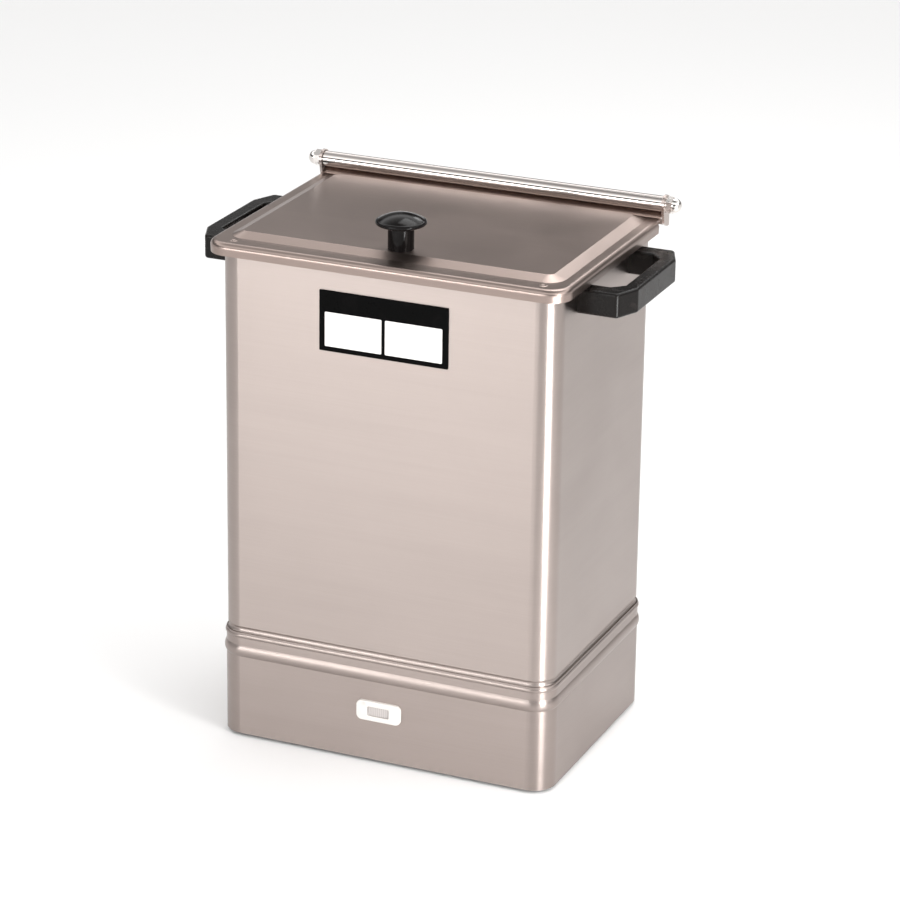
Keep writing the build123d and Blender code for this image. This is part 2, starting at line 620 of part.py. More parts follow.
def lid_knob():
    """Turned mushroom knob with a blind hole for its screw."""
    stem = KNOB_STEM_DIAMETER / 2
    cap = KNOB_CAP_DIAMETER / 2
    under = KNOB_RIM_HEIGHT - KNOB_RIM
    edge = cap - KNOB_RIM
    dome_base = under + 2 * KNOB_RIM
    dome_rise = KNOB_HEIGHT - dome_base
    dome_radius = (edge ** 2 + dome_rise ** 2) / (2 * dome_rise)
    half_edge = edge / 2
    half_rise = KNOB_HEIGHT - dome_radius + sqrt(dome_radius ** 2 - half_edge ** 2)
    bend = KNOB_NECK * (1 - sqrt(0.5))
    outline = [
        Line((0, 0), (stem, 0)),
        Line((stem, 0), (stem, under - KNOB_NECK)),
        ThreePointArc((stem, under - KNOB_NECK), (stem + bend, under - bend), (stem + KNOB_NECK, under)),
        Line((stem + KNOB_NECK, under), (edge, under)),
        ThreePointArc((edge, under), (cap, under + KNOB_RIM), (edge, dome_base)),
        ThreePointArc((edge, dome_base), (half_edge, half_rise), (0, KNOB_HEIGHT)),
        Line((0, KNOB_HEIGHT), (0, 0)),
    ]
    section = Plane.XZ * make_face(outline)
    knob = Pos(0, KNOB_Y, PANEL_Z) * revolve(section, Axis.Z)
    hole = (0, KNOB_Y, PANEL_Z)
    return knob - bar(KNOB_SCREW[0] + HOLE_FIT / 2, KNOB_HEIGHT / 2, hole)


def lid_knob_screw():
    """Screw up through the lid's panel into the knob."""
    bearing = PANEL_Z - SHEET - SEAL_THICKNESS
    length = SHEET + SEAL_THICKNESS + KNOB_HEIGHT / 2 - SHEET
    return pan_screw(KNOB_SCREW, length, (0, KNOB_Y, bearing), Rot(0, 0, 0))


def lid_knob_washer():
    """Sealing washer under the knob's screw head."""
    place = (0, KNOB_Y, PANEL_Z - SHEET - SEAL_THICKNESS)
    return bar(SEAL_RADIUS, SEAL_THICKNESS, place) - bar(KNOB_SCREW[0] + HOLE_FIT, SEAL_THICKNESS, place)


# ---- handles ------------------------------------------------------------------------
def handle(side):
    """Moulded loop handle with shouldered ends, open between its legs for the fingers."""
    end = HANDLE_LENGTH / 2
    flat = HANDLE_FLAT / 2
    shoulder = HANDLE_REACH - HANDLE_SHOULDER
    outline = Polyline(
        (0, -end), (shoulder, -end), (HANDLE_REACH, -flat), (HANDLE_REACH, flat), (shoulder, end), (0, end),
        close=True,
    )
    inner_end = end - HANDLE_LEG
    inner_flat = inner_end - HANDLE_SHOULDER
    grip = HANDLE_REACH - HANDLE_BAR
    gap = Polyline(
        (-CUT_PAST, -inner_end), (grip - HANDLE_SHOULDER, -inner_end), (grip, -inner_flat),
        (grip, inner_flat), (grip - HANDLE_SHOULDER, inner_end), (-CUT_PAST, inner_end),
        close=True,
    )
    body = extrude(make_face(outline), HANDLE_HEIGHT)
    outer_corners = body.edges().filter_by(Axis.Z).filter_by(lambda edge: edge.center().X > HANDLE_EDGE)
    body = fillet(outer_corners, 2 * HANDLE_EDGE)
    body -= extrude(make_face(gap), HANDLE_HEIGHT)
    rims = body.edges().group_by(Axis.Z)
    loops = [edge for edge in rims[0] + rims[-1] if edge.center().X > HANDLE_EDGE / 4]
    body = fillet(loops, HANDLE_EDGE)
    for y in SIDES:
        place = (0, y * HANDLE_BOLT_Y, HANDLE_HEIGHT / 2)
        body -= bar(HANDLE_SCREW[0] + HOLE_FIT / 2, HANDLE_BORE_DEPTH, place, "X")
    body = Pos(WALL_X, HANDLE_MID_Y, HANDLE_TOP_Z - HANDLE_HEIGHT) * body
    return body if side > 0 else mirror(body, about=Plane.YZ)


def handle_bolt_places():
    """Where a handle's two screws cross the right-hand wall's inner face."""
    x = WALL_X - SHEET
    return [(x, HANDLE_MID_Y + y * HANDLE_BOLT_Y, HANDLE_MID_Z) for y in SIDES]


def handle_screws():
    """Screws from inside the tank into the handles' legs."""
    length = SEAL_THICKNESS + SHEET + HANDLE_BORE_DEPTH - SHEET
    screws = []
    for x, y, z in handle_bolt_places():
        screws += both_sides(pan_screw(HANDLE_SCREW, length, (x - SEAL_THICKNESS, y, z), Rot(0, 90, 0)))
    return screws


def handle_seals():
    """Sealing washers under the handle screws' heads."""
    seals = []
    for x, y, z in handle_bolt_places():
        place = (x - SEAL_THICKNESS, y, z)
        ring = bar(SEAL_RADIUS, SEAL_THICKNESS, place, "X")
        seals += both_sides(ring - bar(HANDLE_SCREW[0] + HOLE_FIT, SEAL_THICKNESS, place, "X"))
    return seals


# ---- front plate and pilot lamp -----------------------------------------------------
def front_slab(width, height, corner, x, z, back_y, thickness):
    """A thin upright block with rounded corners, standing proud of back_y."""
    upright = Plane(origin=(x, back_y, z), x_dir=(1, 0, 0), z_dir=(0, -1, 0))
    return extrude(upright * RectangleRounded(width, height, corner), thickness)


def front_plate():
    """Plain plate on the front of the tank."""
    return front_slab(PLATE_WIDTH, PLATE_HEIGHT, PLATE_THICKNESS, 0, PLATE_MID_Z, -WALL_Y, PLATE_THICKNESS)


def front_plate_fields():
    """Two plain fields on the front plate."""
    z = PLATE_MID_Z - FIELD_DROP
    offset = (FIELD_WIDTH + FIELD_GAP) / 2
    back = -WALL_Y - PLATE_THICKNESS
    return [front_slab(FIELD_WIDTH, FIELD_HEIGHT, PLATE_THICKNESS, x * offset, z, back, FIELD_THICKNESS)
            for x in SIDES]


def lamp_bezel():
    """Snap-in frame of the pilot lamp, with its neck through the skirt."""
    flange = front_slab(BEZEL_WIDTH, BEZEL_HEIGHT, BEZEL_CORNER, LAMP_X, LAMP_Z, -SKIRT_Y, BEZEL_PROUD)
    flange = fillet(flange.faces().sort_by(Axis.Y)[0].edges(), BEZEL_EASE)
    neck_width = BEZEL_WIDTH - 2 * NECK_BORDER
    neck_height = BEZEL_HEIGHT - 2 * NECK_BORDER
    neck_back = -SKIRT_Y + NECK_LENGTH
    neck = front_slab(neck_width, neck_height, WINDOW_CORNER, LAMP_X, LAMP_Z, neck_back, NECK_LENGTH)
    window = front_slab(WINDOW_WIDTH, WINDOW_HEIGHT, WINDOW_CORNER, LAMP_X, LAMP_Z,
                        neck_back + CUT_PAST, NECK_LENGTH + BEZEL_PROUD + 2 * CUT_PAST)
    return flange + neck - window


def lamp_lens():
    """Frosted lens, set back in the bezel's window."""
    width = WINDOW_WIDTH - 2 * HOLE_FIT
    height = WINDOW_HEIGHT - 2 * HOLE_FIT
    front = -SKIRT_Y - BEZEL_PROUD + LENS_SETBACK
    lens = front_slab(width, height, WINDOW_CORNER - HOLE_FIT, LAMP_X, LAMP_Z, front + LENS_THICKNESS,
                      LENS_THICKNESS)
    return fillet(lens.faces().sort_by(Axis.Y)[0].edges(), LENS_EASE)


def lamp_body():
    """Lamp housing clipped behind the bezel, with two blade terminals."""
    width = BEZEL_WIDTH - 2 * NECK_BORDER
    height = BEZEL_HEIGHT - 2 * NECK_BORDER
    front = -SKIRT_Y + NECK_LENGTH
    back = front + LAMP_BODY_LENGTH
    body = front_slab(width, height, WINDOW_CORNER, LAMP_X, LAMP_Z, back, LAMP_BODY_LENGTH)
    blade_width, blade_thick, blade_length = LAMP_TAB
    for x in SIDES:
        mid = LAMP_X + x * width / 4
        body += box((mid - blade_thick / 2, back, LAMP_Z - blade_width / 2),
                    (mid + blade_thick / 2, back + blade_length, LAMP_Z + blade_width / 2))
    return body


# ---- element ------------------------------------------------------------------------
def heating_element():
    """Sheathed element: two cold ends up through the floor and four long runs."""
    low = TANK_FLOOR_Z - COLD_END_DROP
    points = [
        (TERMINAL_X, -ELEMENT_INNER_Y, low),
        (TERMINAL_X, -ELEMENT_INNER_Y, ELEMENT_Z),
        (ELEMENT_FRONT_X, -ELEMENT_INNER_Y, ELEMENT_Z),
        (ELEMENT_FRONT_X, -ELEMENT_OUTER_Y, ELEMENT_Z),
        (ELEMENT_BACK_X, -ELEMENT_OUTER_Y, ELEMENT_Z),
        (ELEMENT_BACK_X, ELEMENT_OUTER_Y, ELEMENT_Z),
        (ELEMENT_FRONT_X, ELEMENT_OUTER_Y, ELEMENT_Z),
        (ELEMENT_FRONT_X, ELEMENT_INNER_Y, ELEMENT_Z),
        (TERMINAL_X, ELEMENT_INNER_Y, ELEMENT_Z),
        (TERMINAL_X, ELEMENT_INNER_Y, low),
    ]
    body = bent_wire(points, ELEMENT_BEND, ELEMENT_DIAMETER)
    pin_radius, pin_length = TERMINAL_PIN
    for y in SIDES:
        body += bar(pin_radius, pin_length, (TERMINAL_X, y * ELEMENT_INNER_Y, low - pin_length))
    return body


def element_gaskets():
    """Flat gaskets round the cold ends, on the tank's floor."""
    rings = []
    for y in SIDES:
        place = (TERMINAL_X, y * ELEMENT_INNER_Y, TANK_FLOOR_Z - GASKET_THICKNESS)
        ring = bar(GASKET_RADIUS, GASKET_THICKNESS, place)
        rings.append(ring - bar(ELEMENT_DIAMETER / 2 + SLIP_FIT, GASKET_THICKNESS, place))
    return rings


def element_nuts():
    """Hexagon nuts that draw the cold ends down against the gaskets."""
    nuts = []
    for y in SIDES:
        place = (TERMINAL_X, y * ELEMENT_INNER_Y, TANK_FLOOR_Z - GASKET_THICKNESS - ELEMENT_NUT_HEIGHT)
        nut = hexagon_bar(ELEMENT_NUT_FLATS, ELEMENT_NUT_HEIGHT, place)
        nuts.append(nut - bar(ELEMENT_DIAMETER / 2 + SLIP_FIT, ELEMENT_NUT_HEIGHT, place))
    return nuts


# ---- thermostat ---------------------------------------------------------------------
def thermostat_body():
    """Capillary thermostat on the base plate, its threaded bush and shaft downwards."""
    length, depth, height = THERMOSTAT_BODY
    x, y = THERMOSTAT_X, THERMOSTAT_Y
    body = box((x - length / 2, y - depth / 2, PLATE_TOP_Z),
               (x + length / 2, y + depth / 2, THERMOSTAT_TOP_Z))
    body = fillet(body.edges().filter_by(Axis.Z), THERMOSTAT_EDGE)
    body += bar(BUSH_RADIUS, BUSH_DROP + SHEET, (x, y, PLATE_BOTTOM_Z - BUSH_DROP))
    return body + bar(SHAFT_RADIUS, PLATE_BOTTOM_Z - SHAFT_END_Z, (x, y, SHAFT_END_Z))


def thermostat_nut():
    """Ring nut that clamps the thermostat's bush to the base plate."""
    place = (THERMOSTAT_X, THERMOSTAT_Y, PLATE_BOTTOM_Z - BUSH_NUT_HEIGHT)
    nut = hexagon_bar(BUSH_NUT_FLATS, BUSH_NUT_HEIGHT, place)
    return nut - bar(BUSH_RADIUS + HOLE_FIT / 2, BUSH_NUT_HEIGHT, place)


def thermostat_dial():
    """Fluted dial on the thermostat's shaft, under the base plate."""
    base = (THERMOSTAT_X, THERMOSTAT_Y, DIAL_GROUND_GAP)
    dial = bar(DIAL_RADIUS, DIAL_THICKNESS, base)
    dial = chamfer(dial.edges(), DIAL_EASE)
    for flute in range(DIAL_FLUTES):
        turn = radians(360 * flute / DIAL_FLUTES)
        x = THERMOSTAT_X + (DIAL_RADIUS + FLUTE_RADIUS / 2) * cos(turn)
        y = THERMOSTAT_Y + (DIAL_RADIUS + FLUTE_RADIUS / 2) * sin(turn)
        dial -= bar(FLUTE_RADIUS, DIAL_THICKNESS, (x, y, DIAL_GROUND_GAP))
    bore = (THERMOSTAT_X, THERMOSTAT_Y, SHAFT_END_Z - HOLE_FIT)
    return dial - bar(SHAFT_RADIUS + HOLE_FIT, DIAL_THICKNESS, bore)


def thermostat_capillary():
    """Sensing bulb on the tank's floor with its capillary down to the thermostat."""
    points = [
        (THERMOSTAT_X, THERMOSTAT_Y, THERMOSTAT_TOP_Z),
        (THERMOSTAT_X, THERMOSTAT_Y, THERMOSTAT_TOP_Z + 2 * CAPILLARY_BEND),
        (GLAND_X, 0, TANK_FLOOR_Z - GLAND_TAIL - 2 * CAPILLARY_BEND),
        (GLAND_X, 0, BULB_Z),
        (BULB_END_X, 0, BULB_Z),
    ]
    bends = (CAPILLARY_BEND, CAPILLARY_BEND, BULB_ABOVE_FLOOR - HOLE_FIT)
    tube = bent_wire(points, bends, CAPILLARY_DIAMETER)
    bulb = bar(BULB_DIAMETER / 2, BULB_LENGTH, (BULB_END_X - BULB_LENGTH, 0, BULB_Z), "X")
    bulb = fillet(bulb.edges(), BULB_EASE)
    return tube + bulb


def capillary_gland():
    """Compression gland that seals the capillary in the tank's floor."""
    below = TANK_FLOOR_Z - GLAND_TAIL
    body = bar(GLAND_RADIUS, GLAND_TAIL + SHEET, (GLAND_X, 0, below))
    body += hexagon_bar(GLAND_FLATS, GLAND_HEAD, (GLAND_X, 0, TANK_FLOOR_Z - GLAND_HEAD))
    return body - bar(CAPILLARY_DIAMETER / 2 + HOLE_FIT, 2 * GLAND_TAIL, (GLAND_X, 0, below))


def bulb_clips():
    """Spring clips that hold the bulb off the tank's floor."""
    middle = BULB_END_X - BULB_LENGTH / 2
    inner = BULB_DIAMETER / 2 + HOLE_FIT
    clips = []
    for side in SIDES:
        x = middle + side * CLIP_SPACING / 2 - CLIP_WIDTH / 2
        ring = bar(inner + CLIP_SHEET, CLIP_WIDTH, (x, 0, BULB_Z), "X")
        half = inner + CLIP_SHEET
        foot = box((x, -half, FLOOR_TOP_Z), (x + CLIP_WIDTH, half, FLOOR_TOP_Z + CLIP_SHEET))
        post = box((x, -CLIP_SHEET, FLOOR_TOP_Z), (x + CLIP_WIDTH, CLIP_SHEET, BULB_Z))
        mouth = box((x, -inner / 2, BULB_Z), (x + CLIP_WIDTH, inner / 2, BULB_Z + 2 * inner))
        clips.append(ring + foot + post - bar(inner, CLIP_WIDTH, (x, 0, BULB_Z), "X") - mouth)
    return clips


# ---- mains side ---------------------------------------------------------------------
def cord_inlet():
    """Flanged bush through the rear of the skirt, bored for the supply cord."""
    neck_start = WALL_Y + SLIP_FIT - INLET_NUT_HEIGHT - SHEET
    neck_end = SKIRT_Y
    body = bar(INLET_NECK_RADIUS, neck_end - neck_start, (INLET_X, neck_start, INLET_Z), "Y")
    body += bar(INLET_FLANGE_RADIUS, INLET_FLANGE, (INLET_X, neck_end, INLET_Z), "Y")
    face = Plane(origin=(INLET_X, neck_end + INLET_FLANGE, INLET_Z), z_dir=(0, 1, 0))
    body += extrude(face * Circle(INLET_NECK_RADIUS), INLET_SNOUT, taper=INLET_TAPER)
    length = neck_end - neck_start + INLET_FLANGE + INLET_SNOUT
    return body - bar(INLET_BORE_RADIUS, length, (INLET_X, neck_start, INLET_Z), "Y")


def cord_inlet_nut():
    """Hexagon nut inside the skirt that clamps the inlet bush."""
    place = (INLET_X, WALL_Y + SLIP_FIT - INLET_NUT_HEIGHT, INLET_Z)
    nut = hexagon_bar(INLET_NUT_FLATS, INLET_NUT_HEIGHT, place, "Y")
    return nut - bar(INLET_NECK_RADIUS + HOLE_FIT, INLET_NUT_HEIGHT, place, "Y")


def block_ways():
    """The X of each way of the terminal block."""
    pitch = BLOCK[0] / BLOCK_WAYS
    return [BLOCK_X + (way - (BLOCK_WAYS - 1) / 2) * pitch for way in range(BLOCK_WAYS)]


def terminal_block():
    """Moulded three-way block, ridged between its ways."""
    length, depth, height = BLOCK
    half_way = (length / BLOCK_WAYS - BLOCK_RIDGE) / 2
    low = (BLOCK_X - length / 2, BLOCK_Y - depth / 2, PLATE_TOP_Z)
    body = box(low, (BLOCK_X + length / 2, BLOCK_Y + depth / 2, PLATE_TOP_Z + height))
    for x in block_ways():
        body -= box((x - half_way, BLOCK_Y - depth / 2, WAY_FLOOR_Z),
                    (x + half_way, BLOCK_Y + depth / 2, PLATE_TOP_Z + height))
    return body


def terminal_screws():
    """Clamping screws of the terminal block, two to a way."""
    half = BLOCK_SCREW_SLOT / 2
    top = WAY_FLOOR_Z + BLOCK_SCREW_HEIGHT
    screws = []
    for x in block_ways():
        for side in SIDES:
            y = BLOCK_Y + side * BLOCK[1] / 4
            head = bar(BLOCK_SCREW_RADIUS, BLOCK_SCREW_HEIGHT, (x, y, WAY_FLOOR_Z))
            slot = box((x - BLOCK_SCREW_RADIUS, y - half, top - BLOCK_SCREW_HEIGHT / 2),
                       (x + BLOCK_SCREW_RADIUS, y + half, top))
            screws.append(head - slot)
    return screws


def earth_stud():
    """Earth stud welded on the base plate."""
    radius, height = EARTH_STUD
    return bar(radius, height, (EARTH_X, BLOCK_Y, PLATE_TOP_Z))


def earth_nut():
    """Nut on the earth stud."""
    place = (EARTH_X, BLOCK_Y, PLATE_TOP_Z + EARTH_STUD[1] / 2)
    nut = hexagon_bar(EARTH_NUT_FLATS, EARTH_NUT_HEIGHT, place)
    return nut - bar(EARTH_STUD[0] + HOLE_FIT / 2, EARTH_NUT_HEIGHT, place)


def internal_leads():
    """Insulated leads between the block, the thermostat, the element and the lamp."""
    ways = block_ways()
    block_face = BLOCK_Y - BLOCK[1] / 2
    pin_end = TANK_FLOOR_Z - COLD_END_DROP - TERMINAL_PIN[1]
    body_left = THERMOSTAT_X - THERMOSTAT_BODY[0] / 2
    lamp_back = -SKIRT_Y + NECK_LENGTH + LAMP_BODY_LENGTH
    blade_end = lamp_back + LAMP_TAB[2]
    blade_x = (BEZEL_WIDTH - 2 * NECK_BORDER) / 4
    over_z = LEAD_Z + LEAD_BEND
    routes = [
        [(ways[0], block_face, LEAD_Z), (ways[0], ELEMENT_INNER_Y, LEAD_Z),
         (TERMINAL_X, ELEMENT_INNER_Y, LEAD_Z), (TERMINAL_X, ELEMENT_INNER_Y, pin_end)],
        [(body_left, THERMOSTAT_Y, LEAD_Z), (2 * LEAD_BEND + ways[0], THERMOSTAT_Y, LEAD_Z),
         (ways[0], -ELEMENT_INNER_Y, over_z), (TERMINAL_X, -ELEMENT_INNER_Y, over_z),
         (TERMINAL_X, -ELEMENT_INNER_Y, pin_end)],
        [(ways[1], block_face, LEAD_Z), (ways[1], -ELEMENT_INNER_Y, LEAD_Z),
         (LAMP_X + blade_x, blade_end + 3 * LEAD_BEND, LAMP_Z), (LAMP_X + blade_x, blade_end, LAMP_Z)],
    ]
    return [bent_wire(route, LEAD_BEND, LEAD_DIAMETER) for route in routes]


# ---- pack rack ----------------------------------------------------------------------
def divider_places():
    """The Y of each divider, half a pitch outside the first and last slot's middle."""
    return [(place - SLOTS / 2) * SLOT_PITCH for place in range(SLOTS + 1)]


def rack_grid():
    """Welded grid that the packs stand on: cross wires over two long runners."""
    mid_z = GRID_Z + WIRE / 2
    body = None
    for wire in range(GRID_WIRES):
        x = wire * CROSS_WIRE_PITCH - GRID_HALF_X
        cross = bar(WIRE / 2, 2 * GRID_REACH_Y, (x, -GRID_REACH_Y, CROSS_WIRE_Z), "Y")
        body = cross if body is None else body + cross
    for y in divider_places():
        body += bar(WIRE / 2, 2 * GRID_HALF_X + WIRE, (-GRID_HALF_X - WIRE / 2, y, mid_z), "X")
    return body


def rack_feet():
    """Bent wire feet under the dividers' legs, beyond both ends of the element."""
    front, rear = divider_places()[0], divider_places()[-1]
    low = FLOOR_TOP_Z + WIRE / 2
    feet = []
    for side in SIDES:
        x = side * LOOP_HALF_X
        points = [(x, front, GRID_Z), (x, front, low), (x, rear, low), (x, rear, GRID_Z)]
        feet.append(bent_wire(points, FOOT_BEND, WIRE))
    return feet


def rack_dividers():
    """Upright wire loops that keep the packs apart."""
    low = RACK_TOP_OF_GRID_Z
    high = low + LOOP_HEIGHT - WIRE / 2
    loops = []
    for y in divider_places():
        points = [(-LOOP_HALF_X, y, low), (-LOOP_HALF_X, y, high),
                  (LOOP_HALF_X, y, high), (LOOP_HALF_X, y, low)]
        loops.append(bent_wire(points, LOOP_BEND, WIRE))
    return loops


def rack_bails():
    """Lifting bails at both ends of the rack."""
    low = CROSS_WIRE_Z + WIRE / 2
    high = low + BAIL_HEIGHT - WIRE / 2
    bails = []
    for x in SIDES:
        points = [(x * GRID_HALF_X, -BAIL_HALF_Y, low), (x * GRID_HALF_X, -BAIL_HALF_Y, high),
                  (x * GRID_HALF_X, BAIL_HALF_Y, high), (x * GRID_HALF_X, BAIL_HALF_Y, low)]
        bails.append(bent_wire(points, BAIL_BEND, WIRE))
    return bails


PIECES = {
    "tank": tank,
    "base_skirt": base_skirt,
    "base_plate": base_plate,
    "base_plate_tabs": base_plate_tabs,
    "base_plate_screws": base_plate_screws,
    "rubber_feet": rubber_feet,
    "foot_screws": foot_screws,
    "foot_nuts": foot_nuts,
    "lid_pan": lid_pan,
    "lid_knob": lid_knob,
    "lid_knob_screw": lid_knob_screw,
    "lid_knob_washer": lid_knob_washer,
    "hinge_bracket_left": lambda: hinge_bracket(-1),
    "hinge_bracket_right": lambda: hinge_bracket(1),
    "hinge_rod": hinge_rod,
    "hinge_washers": hinge_washers,
    "hinge_cap_nuts": hinge_cap_nuts,
    "handle_left": lambda: handle(-1),
    "handle_right": lambda: handle(1),
    "handle_screws": handle_screws,
    "handle_seals": handle_seals,
    "front_plate": front_plate,
    "front_plate_fields": front_plate_fields,
    "lamp_bezel": lamp_bezel,
    "lamp_lens": lamp_lens,
    "lamp_body": lamp_body,
    "heating_element": heating_element,
    "element_gaskets": element_gaskets,
    "element_nuts": element_nuts,
    "thermostat_body": thermostat_body,
    "thermostat_nut": thermostat_nut,
    "thermostat_dial": thermostat_dial,
    "thermostat_capillary": thermostat_capillary,
    "capillary_gland": capillary_gland,
    "bulb_clips": bulb_clips,
    "cord_inlet": cord_inlet,
    "cord_inlet_nut": cord_inlet_nut,
    "terminal_block": terminal_block,
    "terminal_screws": terminal_screws,
    "earth_stud": earth_stud,
    "earth_nut": earth_nut,
    "internal_leads": internal_leads,
    "rack_grid": rack_grid,
    "rack_feet": rack_feet,
    "rack_dividers": rack_dividers,
    "rack_bails": rack_bails,
}


def solids_of(made):
    """The separate solids that a piece's function returned."""
    shapes = made if isinstance(made, list) else [made]
    return [solid for shape in shapes for solid in shape.solids()]


os.makedirs("parts", exist_ok=True)
for node, make in PIECES.items():
    solids = solids_of(make())
    export_step(Compound(children=solids) if len(solids) > 1 else solids[0], f"parts/{node}.step")
    print(f"{node}: {len(solids)} solids, {sum(solid.volume for solid in solids):.1f} mm3")
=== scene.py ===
"""Dressed model of a table-top hot pack heater: a satin steel tank with a hinged lid and a pack rack."""

import logging
import math
from dataclasses import dataclass, field
from enum import Enum

import bmesh
import bpy
from mathutils import Matrix, Vector


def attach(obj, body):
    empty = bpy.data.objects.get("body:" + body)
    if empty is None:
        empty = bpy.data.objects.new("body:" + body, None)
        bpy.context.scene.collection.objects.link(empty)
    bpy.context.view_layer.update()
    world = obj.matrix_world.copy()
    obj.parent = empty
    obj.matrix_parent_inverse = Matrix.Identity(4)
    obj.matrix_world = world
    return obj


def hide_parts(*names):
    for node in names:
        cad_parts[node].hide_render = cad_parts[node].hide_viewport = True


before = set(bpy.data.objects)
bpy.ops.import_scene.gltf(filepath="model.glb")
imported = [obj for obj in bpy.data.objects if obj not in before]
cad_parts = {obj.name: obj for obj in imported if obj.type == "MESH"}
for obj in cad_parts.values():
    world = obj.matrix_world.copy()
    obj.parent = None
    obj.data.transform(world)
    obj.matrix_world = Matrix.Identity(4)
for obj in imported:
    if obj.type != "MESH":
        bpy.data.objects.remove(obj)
LOG = logging.getLogger("hot_pack_heater")
MM = 0.001                      # metres in a millimetre
MERGE = 2e-7                    # metres below which two points are one
ON_PLANE = 1e-8                 # metres within which a point lies on a cutting plane
SMOOTH_BELOW = 35.0             # degrees between faces that are shaded smooth
QUARTER_TURN, HALF_TURN = 90.0, 180.0
WAVE_PHASE = 20.0               # phase that a band texture gains in one unit
MIX_SHARE = 0                   # a Mix node's inputs, by number, since their names repeat
MIX_VALUES, MIX_COLOURS = (2, 3), (6, 7)
MIX_VALUE_OUT, MIX_COLOUR_OUT = 0, 2
Colour = tuple[float, float, float]
Triple = tuple[float, float, float]


